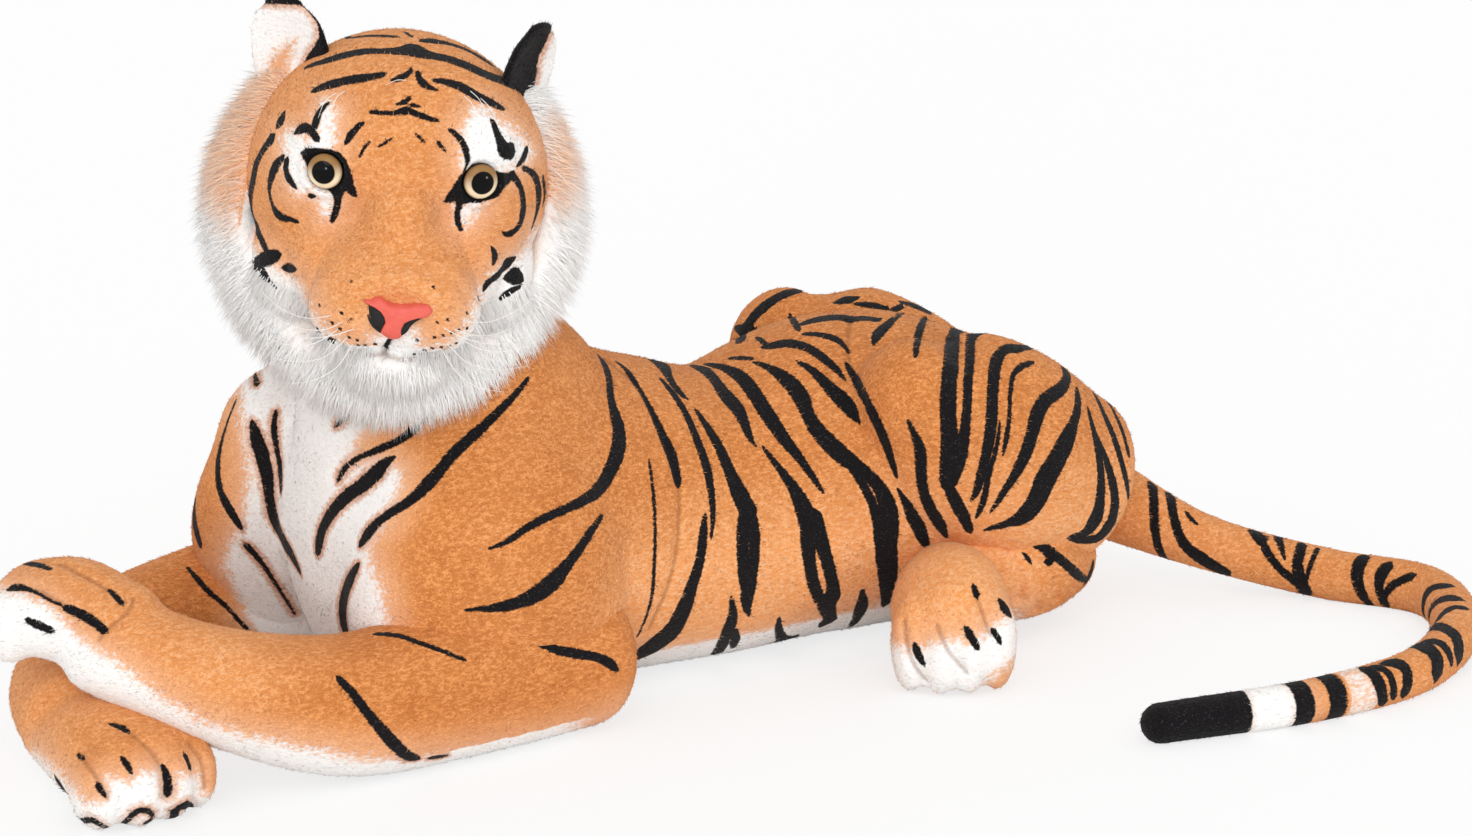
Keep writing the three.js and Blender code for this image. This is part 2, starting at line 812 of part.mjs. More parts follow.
// The room of a moulded piece: its seat in the pile, its hole in the skin and its washer's pocket.
function postPocket() {
  const bore = postRadius + seamGap;
  const pocket = washerDiameter / 2 + seamGap;
  const end = -(postReach + seamGap);
  const skinBack = -skinThickness;
  return turned(
    [[0, end], [pocket, end], [pocket, skinBack], [bore, skinBack], [bore, seamGap], [0, seamGap]],
    turnedSegments,
  );
}

function eyeSeat() {
  const radius = eyeRadius + seamGap;
  const room = turned(
    [[0, -seamGap], [radius, -seamGap], [radius, cutOverrun], [0, cutOverrun]],
    turnedSegments,
  );
  return room.add(postPocket());
}

const washerCollarShare = 0.3;
const washerSlits = 6;
const washerSlitTurnShare = 0.25;

function washerForm() {
  const hole = postRadius + seamGap;
  const rim = washerDiameter / 2;
  const collar = hole + washerThickness * washerCollarShare;
  const back = -(skinThickness + seamGap);
  const front = back - washerThickness;
  const end = front - washerCollarHeight;
  const foot = collar + washerThickness;
  const ring = turned(
    [[hole, end], [collar, end], [foot, front], [rim, front], [rim, back], [hole, back], [hole, end]],
    turnedSegments,
  );
  const slitReach = 2 * foot;
  const slitDepth = washerCollarHeight + washerThickness;
  const slits = Array.from({ length: washerSlits / 2 }, (_, i) => {
    const slit = new THREE.BoxGeometry(slitReach, washerSlitWidth, slitDepth);
    slit.translate(0, 0, end + slitDepth / 2 - washerThickness / 2);
    return solidOf(slit.rotateZ(((i + washerSlitTurnShare) * Math.PI * 2) / washerSlits));
  });
  return cut(ring, ...slits);
}

// Nose: a Y-shaped ridge whose wings curl over two hollow nostrils.
const noseOutlineShares = [
  [0, 0.34],
  [0.26, 0.5],
  [0.5, 0.36],
  [0.45, 0.02],
  [0.3, -0.28],
  [0.13, -0.5],
];
const noseDomeShares = [0.6, 0.66, 0.9];
const nostrilPlaceShares = [0.29, -0.04, 0.98];
const nostrilHalfShares = [0.12, 0.26, 0.4];
const nostrilLean = 28;
const noseDomeSides = 18;
const nostrilSides = 10;
const noseOutlinePoints = 26;
const noseSunkShare = 0.45;

function noseBlock(grow) {
  const [width, height] = [noseWidth + 2 * grow, noseHeight + 2 * grow];
  const right = noseOutlineShares.map(([x, y]) => new THREE.Vector2(x * width, y * height));
  const left = right.slice(1).reverse().map((point) => new THREE.Vector2(-point.x, point.y));
  const loop = new THREE.SplineCurve([...right, ...left, right[0]]);
  const outline = loop.getPoints(noseOutlinePoints).slice(0, -1);
  const block = new THREE.ExtrudeGeometry(new THREE.Shape(outline), {
    depth: noseDepth + 2 * grow,
    bevelEnabled: false,
  });
  return solidOf(block.translate(0, 0, -noseSunkShare * noseDepth - grow));
}

function noseForm() {
  const [domeWide, domeTall, domeDeep] = noseDomeShares;
  const dome = egg(
    new THREE.Vector3(0, 0, -noseSunkShare * noseDepth),
    [domeWide * noseWidth, domeTall * noseHeight, domeDeep * noseDepth],
    noseDomeSides,
  );
  const nostrils = [1, -1].map((side) => {
    const [x, y, z] = nostrilPlaceShares;
    const [wide, tall, deep] = nostrilHalfShares;
    const halfSizes = [wide * noseWidth, tall * noseHeight, deep * noseDepth];
    const hollow = egg(new THREE.Vector3(), halfSizes, nostrilSides);
    const place = new THREE.Vector3(side * x * noseWidth, y * noseHeight, (z - noseSunkShare) * noseDepth);
    const lean = THREE.MathUtils.degToRad(-nostrilLean * side);
    return moved(hollow, new THREE.Matrix4().makeRotationZ(lean).setPosition(place));
  });
  const back = -noseSunkShare * noseDepth;
  const post = turned([...postProfile(), [postRadius, 0], [0, 0]], turnedSegments);
  const body = cut(noseBlock(0).intersect(dome), ...nostrils);
  return joined(body, moved(post, new THREE.Matrix4().makeTranslation(0, 0, back + seamGap)));
}

function noseSeat() {
  const back = -noseSunkShare * noseDepth;
  const front = new THREE.Matrix4().makeScale(1, 1, 1 + cutOverrun / noseDepth);
  const shift = new THREE.Matrix4().makeTranslation(0, 0, back);
  return joined(
    moved(noseBlock(seamGap), shift.clone().multiply(front).multiply(shift.clone().invert())),
    moved(postPocket(), shift),
  );
}

// Everything that the turning head must clear, in the head's own frame.
const bodyForms = Object.entries(sides).map(([name, side]) => shoulderForm(name, side, headTurnGap));
const bodySweep = sweep(
  joined(trunkForm(headTurnGap), neckForm(headTurnGap), ...bodyForms),
  headPivot,
  upAxis,
  turnStepShares.map((share) => share * headTurnRange),
);
const bodyInHead = moved(bodySweep, headGroup.matrix.clone().invert());
const headSides = { left: 1, right: -1 };

const eyeHeightShare = 0.135;
const eyeDepthShare = 0.42;
const eyeTurn = 16;
const eyeRise = 4;

function eyeFrame(side) {
  const axis = new THREE.Vector3(1, 0, 0).applyEuler(eulerOf({ yaw: eyeTurn * side, pitch: -eyeRise }));
  const from = new THREE.Vector3(0, 0, eyeHeightShare * headHeight);
  from.y = side * (eyeSpacing / 2) - (axis.y / axis.x) * eyeDepthShare * headLength;
  return seatFrame(surfacePoint(skullForm(0), from, axis), axis);
}
const eyeFrames = Object.values(headSides).map(eyeFrame);
const eyeSeats = eyeFrames.map((frame) => moved(eyeSeat(), frame));

const noseAim = new THREE.Vector3(1, 0, 0.16).normalize();
const noseFromShares = [0.9, 0, -0.58];
const noseFrom = pointOf(noseFromShares, muzzleLength, muzzleWidth, muzzleHeight);
const noseFrame = seatFrame(surfacePoint(muzzleForm(0), noseFrom, noseAim), noseAim);
const noseRoom = moved(noseSeat(), noseFrame);
const noseDrop = new THREE.Matrix4().makeTranslation(0, 0, -noseSunkShare * noseDepth);

place(headGroup, "head", cut(skullForm(0), bodyInHead, ...eyeSeats), orangePlush);
const headSeats = [bodyInHead, skullForm(seamGap), ...eyeSeats];
place(headGroup, "muzzle", cut(muzzleForm(0), ...headSeats, noseRoom), orangePlush);
headSeats.push(muzzleForm(seamGap));
place(headGroup, "chin", cut(chinForm(0), ...headSeats), whitePlush);
headSeats.push(chinForm(seamGap));
const earSeats = [];
Object.entries(headSides).forEach(([name, side], index) => {
  place(headGroup, `eye_${name}`, moved(eyeForm(), eyeFrames[index]), amberPlastic);
  place(headGroup, `eye_washer_${name}`, moved(washerForm(), eyeFrames[index]), clearPlastic);
  const ear = earFrame(name, side);
  const scalp = skullForm(seamGap);
  const shell = moved(earShell(0), ear);
  const lining = moved(earCup(seamGap).intersect(earShell(0)), ear);
  const hollow = moved(earCup(earLiningThickness), ear);
  place(headGroup, `ear_${name}`, cut(shell, scalp, moved(earCup(0), ear)), blackPlush);
  place(headGroup, `ear_lining_${name}`, cut(lining, scalp, hollow), whitePlush);
  earSeats.push(moved(earShell(seamGap), ear));
});
headSeats.push(...earSeats);
for (const [name, side] of Object.entries(headSides)) {
  place(headGroup, `cheek_ruff_${name}`, cut(ruffForm(cheekRuffShares, side, 0), ...headSeats), whitePlush);
}
headSeats.push(...[1, -1].map((side) => ruffForm(cheekRuffShares, side, seamGap)));
place(headGroup, "throat_ruff", cut(ruffForm(throatRuffShares, 1, 0), ...headSeats), whitePlush);
place(headGroup, "nose", moved(noseForm(), noseFrame), rosePlastic);
place(headGroup, "nose_washer", moved(washerForm(), noseFrame.clone().multiply(noseDrop)), clearPlastic);

export default tiger;
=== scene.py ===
"""The looks of a large plush tiger: printed plush skins, long ruff fur, glass-like eyes, nose and whiskers.

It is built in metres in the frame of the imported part: the tiger looks along -X, its left side is -Y.
"""

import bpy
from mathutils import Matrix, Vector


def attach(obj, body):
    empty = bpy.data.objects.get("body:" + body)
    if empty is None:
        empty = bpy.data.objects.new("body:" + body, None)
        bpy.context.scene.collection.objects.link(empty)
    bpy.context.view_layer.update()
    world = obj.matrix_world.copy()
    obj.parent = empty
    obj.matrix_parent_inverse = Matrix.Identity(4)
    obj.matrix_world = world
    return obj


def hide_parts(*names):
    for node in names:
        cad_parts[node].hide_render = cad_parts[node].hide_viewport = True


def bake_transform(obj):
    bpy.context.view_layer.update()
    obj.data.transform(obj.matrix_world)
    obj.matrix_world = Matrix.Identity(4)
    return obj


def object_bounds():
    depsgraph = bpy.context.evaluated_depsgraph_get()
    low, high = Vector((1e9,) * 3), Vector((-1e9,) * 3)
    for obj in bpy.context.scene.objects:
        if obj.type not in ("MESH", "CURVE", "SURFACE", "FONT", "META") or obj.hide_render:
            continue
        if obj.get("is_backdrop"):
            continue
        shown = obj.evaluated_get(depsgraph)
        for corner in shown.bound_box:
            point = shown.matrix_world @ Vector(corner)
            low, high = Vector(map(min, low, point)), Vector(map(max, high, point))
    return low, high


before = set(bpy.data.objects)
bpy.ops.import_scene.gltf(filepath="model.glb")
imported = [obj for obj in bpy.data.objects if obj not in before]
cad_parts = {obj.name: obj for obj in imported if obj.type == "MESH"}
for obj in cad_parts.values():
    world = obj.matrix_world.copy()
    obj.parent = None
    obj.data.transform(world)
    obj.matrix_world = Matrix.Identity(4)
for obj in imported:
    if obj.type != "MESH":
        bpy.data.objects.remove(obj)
cad_box = [list(corner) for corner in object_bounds()]

import math

import bpy
import numpy as np
from bpy.props import FloatProperty, FloatVectorProperty, IntProperty, PointerProperty
from mathutils import Matrix, Vector
from mathutils.bvhtree import BVHTree
from mathutils.kdtree import KDTree

bl_info = {
    "name": "Plush tiger looks",
    "version": (1, 0, 0),
    "blender": (4, 5, 0),
    "location": "View3D > Sidebar > Plush tiger",
    "description": "Dresses the packed plush tiger in its printed plush, fur, eyes, nose and whiskers",
    "category": "Add Mesh",
}


def length(name, description, default):
    return FloatProperty(name=name, description=description, default=default, unit="LENGTH")


def dye(name, description, default):
    return FloatVectorProperty(name=name, description=description, default=default, subtype="COLOR")


class TigerSizes(bpy.types.PropertyGroup):
    """Sizes that a maker would change."""

    body_mesh: length("Body mesh", "Spacing of the body skin's mesh", 0.0036)
    limb_mesh: length("Limb mesh", "Spacing of the mesh of legs and paws", 0.0027)
    head_mesh: length("Head mesh", "Spacing of the head skin's mesh", 0.0023)
    seam_depth: length("Seam depth", "How deep a seam pulls the plush in", 0.0022)
    toe_crease_depth: length("Toe crease depth", "How deep the toes are stitched in", 0.0026)
    pile_length: length("Pile length", "Length of the short plush pile", 0.0055)
    pile_thickness: length("Pile thickness", "Thickness of a tuft of pile", 0.0009)
    pile_spacing: length("Pile spacing", "Spacing of the tufts that stand proud", 0.0036)
    ruff_length: length("Ruff length", "Length of the ruff's long fur", 0.021)
    ruff_thickness: length("Ruff strand", "Thickness of a lock of ruff fur", 0.0009)
    chin_length: length("Chin fur", "Length of the fur on chin and jowls", 0.012)
    whisker_thickness: length("Whisker thickness", "Thickness of a whisker", 0.0008)
    swell: length("Swell", "How far the stuffing swells the plush between its seams", 0.003)


class TigerColours(bpy.types.PropertyGroup):
    """Colours of the plush and of the moulded pieces, as linear values."""

    orange: dye("Orange", "Main orange of the pile", (0.80, 0.32, 0.10))
    deep_orange: dye("Deep orange", "Orange in the pile's shade", (0.50, 0.165, 0.04))
    peach: dye("Peach", "Pale orange of face, paws and lower flanks", (0.90, 0.50, 0.26))
    white: dye("White", "White of chest, paws and ruff", (0.94, 0.93, 0.915))
    cream: dye("Cream", "Shade of the white fur", (0.84, 0.80, 0.76))
    black: dye("Black", "Printed stripes", (0.006, 0.005, 0.006))
    rose: dye("Rose", "The moulded nose", (0.74, 0.125, 0.09))
    amber: dye("Amber", "Iris", (0.30, 0.16, 0.055))


class TigerPiles(bpy.types.PropertyGroup):
    """Counts and the seed of the fur."""

    ruff_strands: IntProperty(
        name="Ruff strands",
        description="Locks of fur on each piece of ruff",
        default=16000,
        min=100,
        max=19000,
    )
    seed: IntProperty(name="Seed", description="Seed of the fur's variation", default=11)


def sizes():
    return bpy.context.scene.tiger_sizes


def colours():
    return bpy.context.scene.tiger_colours


def piles():
    return bpy.context.scene.tiger_piles


# The camera stands where the photograph was taken. Pixels below are places in its 1472 x 836 frame.
PHOTO_SIZE = (1472, 836)
CAMERA_TARGET = np.array((0.0, -0.06, 0.12))
CAMERA_AZIMUTH, CAMERA_RISE, CAMERA_REACH = -30, 17, 3.0
FOCAL_PIXELS = 3846.15
OPTICAL_AXIS_PIXEL = (760, 520)

_azimuth, _rise = math.radians(CAMERA_AZIMUTH), math.radians(CAMERA_RISE)
camera_back = np.array(
    (math.sin(_azimuth) * math.cos(_rise), -math.cos(_azimuth) * math.cos(_rise), math.sin(_rise))
)
camera_right = np.array((math.cos(_azimuth), math.sin(_azimuth), 0.0))
camera_up = np.cross(camera_back, camera_right)
camera_eye = CAMERA_TARGET + camera_back * CAMERA_REACH


def pixel_direction(x, y):
    across = camera_right * (x - OPTICAL_AXIS_PIXEL[0])
    ahead = across + camera_up * (OPTICAL_AXIS_PIXEL[1] - y) - camera_back * FOCAL_PIXELS
    return ahead / np.linalg.norm(ahead)


def pixels_of(places):
    local = np.atleast_2d(places) - camera_eye
    depth = -(local @ camera_back)
    across = OPTICAL_AXIS_PIXEL[0] + FOCAL_PIXELS * (local @ camera_right) / depth
    down = OPTICAL_AXIS_PIXEL[1] - FOCAL_PIXELS * (local @ camera_up) / depth
    return np.stack([across, down], 1)


# Sizes of the sewn forms, in metres, and their share tables: a row is x, y, z and the half sizes.
TRUNK_SIZE = (0.66, 0.226, 0.236)
TRUNK_SHARES = (
    (0.43, 0, 0.45, 0.4, 0.39),
    (0.31, 0, 0.488, 0.5, 0.49),
    (0.15, 0, 0.548, 0.49, 0.55),
    (-0.02, 0, 0.488, 0.49, 0.49),
    (-0.17, 0, 0.538, 0.52, 0.54),
    (-0.32, -0.05, 0.6, 0.54, 0.602),
    (-0.46, -0.1, 0.57, 0.5, 0.54),
)
NECK_SIZE = (0.172, 0.216)
NECK_SHARES = (
    (-0.325, -0.03, 0.72, 0.68, 0.55),
    (-0.37, -0.06, 0.95, 0.6, 0.56),
    (-0.415, -0.12, 1.22, 0.5, 0.43),
)
SHOULDER_SIZE = (0.23, 0.116, 0.236)
SHOULDER_SHARES = {
    "left": (
        (0.06, -0.14, 0.92, 0.42, 0.32),
        (0.06, -0.02, 0.72, 0.5, 0.44),
        (0.12, 0.02, 0.46, 0.54, 0.5),
        (0.28, 0, 0.31, 0.47, 0.33),
    ),
    "right": (
        (-0.14, 0.04, 0.92, 0.46, 0.34),
        (-0.11, 0.14, 0.7, 0.52, 0.42),
        (-0.13, 0.36, 0.44, 0.54, 0.42),
        (-0.15, 0.54, 0.27, 0.5, 0.34),
    ),
}
SHOULDER_PLACE = (-0.405, 0.42)
HAUNCH_SIZE = (0.262, 0.124, 0.236)
HAUNCH_SHARES = (
    (-0.34, 0.06, 0.92, 0.34, 0.2),
    (-0.18, 0.02, 0.78, 0.44, 0.34),
    (0.06, 0, 0.62, 0.5, 0.36),
    (0.3, -0.06, 0.5, 0.44, 0.3),
)
HAUNCH_PLACE = (0.3, 0.4)
SHANK_WIDTH = 0.084
SHANK_SHARES = ((0.255, 0.4, 0.72), (0.33, 0.44, 0.72), (0.4, 0.34, 0.66))
SHANK_HALF_SHARES = (0.53, 0.53, 0.47)
HIND_PAW_SIZE = (0.112, 0.098, 0.112)
HIND_PAW_PLACE = (0.21, 0.5)
HIND_PAW_TURN = 62
FORELEG_LENGTH, FORELEG_THICKNESS = 0.33, 0.088
ELBOWS = {"left": (-0.34, -0.5), "right": (-0.4, 0.68)}
FORELEG_SHARES = {
    "left": (
        (0.13, 0.02, 0.635, 0.6, 0.64),
        (-0.2, -0.025, 0.655, 0.58, 0.66),
        (-0.5, -0.05, 0.67, 0.53, 0.6),
        (-0.78, 0.0, 0.98, 0.5, 0.48),
        (-0.98, 0.12, 1.34, 0.44, 0.42),
    ),
    "right": (
        (-0.06, -0.04, 0.74, 0.6, 0.68),
        (-0.28, 0.02, 0.58, 0.54, 0.58),
        (-0.58, -0.08, 0.52, 0.52, 0.522),
        (-0.8, -0.34, 0.5, 0.54, 0.502),
        (-0.86, -0.57, 0.5, 0.54, 0.502),
    ),
}
FOREPAW_SIZE = (0.127, 0.108, 0.084)
WRISTS = {"left": (-0.94, 0.12, 0.27), "right": (-0.87, -0.57, 0)}
FOREPAW_TURNS = {"left": (128, -6, -8), "right": (-84, 0, 0)}
PAW_SHARES = ((0.1, 0, 0.44, 0.4, 0.42), (0.45, 0, 0.478, 0.48, 0.48), (0.74, 0, 0.42, 0.44, 0.42))
TOE_ROWS = (-0.34, -0.114, 0.114, 0.34)
TOE_REACHES = (0.74, 0.82, 0.82, 0.74)
TOE_HALF_SHARES = (0.21, 0.162, 0.36)
TOE_HEIGHT_SHARE = 0.355
TAIL_LENGTH, TAIL_THICKNESS = 0.64, 0.044
TAIL_ROOT = np.array((0.34775, -0.01102, 0.0))
TAIL_SHARES = (
    (0, 0, 1.8, 0.8),
    (0.095, -0.11, 1.05, 0.52),
    (0.225, -0.21, 0.485, 0.48),
    (0.295, -0.33, 0.46, 0.47),
    (0.235, -0.46, 0.44, 0.45),
    (0.1, -0.555, 0.4, 0.41),
    (-0.065, -0.575, 0.37, 0.38),
    (-0.275, -0.545, 0.34, 0.35),
)

# The head's own frame: +X out of the face, +Y to the tiger's left, +Z up.
HEAD_PLACE = (-0.29086, -0.03666, 0.41512)
HEAD_TURNS = (-114, 6, -5.3)
HEAD_SIZE = (0.196, 0.214, 0.212)
SKULL_SHARES = (
    (-0.3, 0, 0, 0.38, 0.4),
    (-0.1, 0, 0.02, 0.49, 0.49),
    (0.14, 0, 0.02, 0.5, 0.5),
    (0.34, 0, -0.04, 0.42, 0.42),
)
MUZZLE_SIZE = (0.128, 0.124, 0.092)
MUZZLE_SHARES = (
    (0.24, 0, 0, 0.4, 0.6),
    (0.6, 0, -0.3, 0.42, 0.5),
    (1.0, 0, -0.5, 0.46, 0.4),
    (1.1, 0, -0.52, 0.4, 0.34),
)
CHIN_PLACE = (0.110, 0, -0.0902)
CHIN_HALF = (0.038, 0.038, 0.0228)
RUFF_THICKNESS, RUFF_DEPTH = 0.046, 0.084
# The ruff's fur is rooted on a roll this much narrower and thinner, so that it ends near the solid's face.
RUFF_TUCK = (0.93, 0.85)
CHEEK_RUFF_SHARES = (
    (-0.12, 0.44, 0.28, 0.3, 0.34),
    (-0.12, 0.53, 0.06, 0.46, 0.5),
    (-0.08, 0.55, -0.18, 0.5, 0.5),
    (0.06, 0.45, -0.42, 0.5, 0.5),
)
THROAT_RUFF_SHARES = (
    (0.13, 0.4, -0.47, 0.5, 0.46),
    (0.3, 0.22, -0.58, 0.54, 0.46),
    (0.38, 0, -0.62, 0.56, 0.46),
    (0.3, -0.22, -0.58, 0.54, 0.46),
    (0.13, -0.4, -0.47, 0.5, 0.46),
)
EAR_SIZE = (0.016, 0.066, 0.057)
EAR_SHARES = ((-0.12, 0.5, 0.5), (0.3, 0.5, 0.5), (0.66, 0.42, 0.42), (0.86, 0.24, 0.3))
EAR_FEET = {"left": (-0.06, 0.76, 0.63), "right": (-0.06, 0.7, 0.68)}
EAR_LEAN = (0.05, 0.2, 1)
EAR_TURNS = {"left": 56, "right": -34}
EYE_RADIUS = 0.013
EYE_TURN, EYE_RISE = 16, 4
BODY_SIDES = {"left": -1, "right": 1}
HEAD_SIDES = {"left": 1, "right": -1}
FLOOR_CLEARANCE = 0.0004
# How far the two domed ends of a form stand out, as shares of the size that its function names.
CAP_SHARES = {
    "trunk": (0.26, 0.24),
    "neck": (0.3, 0.2),
    "shoulder": (0.3, 0.3),
    "haunch": (0.3, 0.4),
    "shank": (0.3, 0.36),
    "paw": (0.3, 0.2),
    "foreleg": (0.4, 0.3),
    "skull": (0.2, 0.14),
    "muzzle": (0.1, 0.12),
    "ruff": (0.5, 0.5),
    "ear": (0.06, 0.12),
}


# Forms: places and faces of closed lofts and eggs.
HEADING_STEP, CAP_RINGS = 1e-3, 8


def unit(vectors):
    return vectors / np.maximum(np.linalg.norm(vectors, axis=-1, keepdims=True), 1e-12)


def smooth_line(stops, shares, even=False):
    """Places on a Catmull-Rom line through the stops, centripetal unless it is even."""
    p = np.asarray(stops, float)
    last = len(p) - 1
    p = np.vstack([2 * p[0] - p[1], p, 2 * p[-1] - p[-2]])
    out = []
    for share in shares:
        i = min(int(share * last), last - 1)
        t = share * last - i
        a, b, c, d = p[i : i + 4]
        if even:
            m1, m2 = 0.5 * (c - a), 0.5 * (d - b)
        else:
            ta, tb, tc = (max(np.linalg.norm(s) ** 0.5, 1e-4) for s in (b - a, c - b, d - c))
            m1 = ((b - a) / ta - (c - a) / (ta + tb) + (c - b) / tb) * tb
            m2 = ((c - b) / tb - (d - b) / (tb + tc) + (d - c) / tc) * tb
        out.append(b + m1 * t + (3 * c - 3 * b - 2 * m1 - m2) * t**2 + (2 * b - 2 * c + m1 + m2) * t**3)
    return np.array(out)


def tube_faces(sides, sections):
    corner = lambda ring, i: 1 + ring * sides + i % sides
    end, last = 1 + sides * sections, sections - 1
    faces = [(0, corner(0, i + 1), corner(0, i)) for i in range(sides)]
    faces += [(end, corner(last, i), corner(last, i + 1)) for i in range(sides)]
    for ring in range(last):
        faces += [
            (corner(ring, i), corner(ring, i + 1), corner(ring + 1, i + 1), corner(ring + 1, i))
            for i in range(sides)
        ]
    return faces


def swept(line, heading, half, caps, up, sides, cap_rings):
    """Elliptical rings along a line, closed by a domed cap at each end."""
    side = unit(np.cross(np.array(up, float), heading))
    rise = np.cross(heading, side)
    turns = [ring / cap_rings * math.pi / 2 for ring in range(1, cap_rings)]
    rows = [(0, -caps[0] * math.cos(turn), math.sin(turn)) for turn in turns]
    rows += [(ring, 0, 1) for ring in range(len(line))]
    rows += [(len(line) - 1, caps[1] * math.cos(turn), math.sin(turn)) for turn in reversed(turns)]
    around = np.linspace(0, 2 * math.pi, sides, endpoint=False)[:, None]
    places = [line[0] - heading[0] * caps[0]]
    for ring, along, fullness in rows:
        centre = line[ring] + heading[ring] * along
        wide, high = side[ring] * half[ring][0] * fullness, rise[ring] * half[ring][1] * fullness
        places.extend(centre + np.cos(around) * wide + np.sin(around) * high)
    places.append(line[-1] + heading[-1] * caps[1])
    return np.array(places), tube_faces(sides, len(rows))


def loft(at, half, caps, up=(0, 0, 1), sides=40, rings=40):
    """A closed form with elliptical sections on a smooth line through its stations."""
    shares = np.linspace(0, 1, rings + 1)
    ahead = smooth_line(at, np.minimum(shares + HEADING_STEP, 1))
    heading = unit(ahead - smooth_line(at, np.maximum(shares - HEADING_STEP, 0)))
    size = smooth_line(half, shares, even=True)
    return swept(smooth_line(at, shares), heading, size, caps, up, sides, CAP_RINGS)


def tube(line, half, caps, sides=40, cap_rings=CAP_RINGS):
    """A closed tube along a line whose every place is given."""
    return swept(line, unit(np.gradient(line, axis=0)), half, caps, (0, 0, 1), sides, cap_rings)


def egg(centre, half, sides=28, rings=16):
    turns = [math.pi * ring / rings for ring in range(1, rings)]
    around = np.linspace(0, 2 * math.pi, sides, endpoint=False)
    places = [(0, 0, -1)]
    places += [
        (math.sin(t) * math.cos(a), math.sin(t) * math.sin(a), -math.cos(t)) for t in turns for a in around
    ]
    places.append((0, 0, 1))
    return np.array(places) * np.array(half) + np.array(centre), tube_faces(sides, len(turns))


def stations(rows, size, side=1, origin=(0, 0, 0)):
    """Centres and half sizes from a share table: x and z follow length and height, y the width."""
    rows, (length, width, height) = np.array(rows, float), size
    at = rows[:, :3] * np.array((length, width * side, height)) + np.array(origin)
    return at, rows[:, 3:5] * np.array((width, height))


def turn_matrix(turns):
    yaw, pitch, roll = (math.radians(turn) for turn in turns)
    return Matrix.Rotation(yaw, 4, "Z") @ Matrix.Rotation(pitch, 4, "Y") @ Matrix.Rotation(roll, 4, "X")


def moved(form, matrix):
    places, faces = form
    m = np.array(matrix)
    return places @ m[:3, :3].T + m[:3, 3], faces


head_matrix = Matrix.Translation(HEAD_PLACE) @ turn_matrix(HEAD_TURNS)
head_array = np.array(head_matrix)


def in_head(places):
    """Places in the head's own frame."""
    return (np.atleast_2d(places) - head_array[:3, 3]) @ head_array[:3, :3]


def from_head(places):
    return np.atleast_2d(places) @ head_array[:3, :3].T + head_array[:3, 3]


def head_direction(direction):
    return head_array[:3, :3] @ np.array(direction, float)


def caps(form, size):
    first, last = CAP_SHARES[form]
    return first * size, last * size


def beside_trunk(place, side=1):
    """A place on the floor, from its shares of the trunk's length and width."""
    return place[0] * TRUNK_SIZE[0], side * place[1] * TRUNK_SIZE[1], 0


def trunk_form():
    at, half = stations(TRUNK_SHARES, TRUNK_SIZE)
    return loft(at, half, caps("trunk", TRUNK_SIZE[1]), sides=64, rings=64)


def neck_form():
    rows = np.array(NECK_SHARES, float)
    at, half = rows[:, :3] * np.array(TRUNK_SIZE), rows[:, 3:5] * np.array(NECK_SIZE)
    return loft(at, half, caps("neck", NECK_SIZE[0]), up=(1, 0, 0))


def shoulder_form(name):
    side = BODY_SIDES[name]
    at, _ = stations(SHOULDER_SHARES[name], SHOULDER_SIZE, side, beside_trunk(SHOULDER_PLACE, side))
    shares = np.array(SHOULDER_SHARES[name], float)[:, 3:5]
    half = shares * np.array((SHOULDER_SIZE[1], SHOULDER_SIZE[0]))
    return loft(at, half, caps("shoulder", SHOULDER_SIZE[1]), up=(1, 0, 0))


def haunch_form(side):
    at, half = stations(HAUNCH_SHARES, HAUNCH_SIZE, side, beside_trunk(HAUNCH_PLACE, side))
    return loft(at, half, caps("haunch", HAUNCH_SIZE[1]))


def shank_form(side):
    at = [(*beside_trunk(row, side)[:2], row[2] * SHANK_WIDTH) for row in SHANK_SHARES]
    half = [(share * SHANK_WIDTH, share * SHANK_WIDTH) for share in SHANK_HALF_SHARES]
    return loft(at, half, caps("shank", SHANK_WIDTH))


def paw_forms(size, matrix):
    """A pad that widens to the front, with four toes."""
    at, half = stations(PAW_SHARES, size)
    forms = [loft(at, half, caps("paw", size[0]))]
    for row, reach in zip(TOE_ROWS, TOE_REACHES):
        centre = np.array((reach, row, TOE_HEIGHT_SHARE)) * np.array(size)
        forms.append(egg(centre, np.array(TOE_HALF_SHARES) * np.array(size)))
    return [moved(form, matrix) for form in forms]


def hind_paw_matrix(side):
    at = Matrix.Translation(beside_trunk(HIND_PAW_PLACE, side))
    return at @ turn_matrix((180 - side * HIND_PAW_TURN, 0, 0))


def elbow(name):
    return np.array(beside_trunk(ELBOWS[name]))


def foreleg_form(name):
    rows = np.array(FORELEG_SHARES[name], float)
    reach = np.array((FORELEG_LENGTH, FORELEG_LENGTH, FORELEG_THICKNESS))
    at, half = rows[:, :3] * reach + elbow(name), rows[:, 3:5] * FORELEG_THICKNESS
    return loft(at, half, caps("foreleg", FORELEG_THICKNESS))


def forepaw_matrix(name):
    at = elbow(name) + np.array(WRISTS[name]) * FORELEG_LENGTH
    return Matrix.Translation(at) @ turn_matrix(FOREPAW_TURNS[name])


def skull_form():
    at, half = stations(SKULL_SHARES, HEAD_SIZE)
    return loft(at, half, caps("skull", HEAD_SIZE[0]), sides=48)


def muzzle_form():
    at, half = stations(MUZZLE_SHARES, MUZZLE_SIZE)
    return loft(at, half, caps("muzzle", MUZZLE_SIZE[0]))


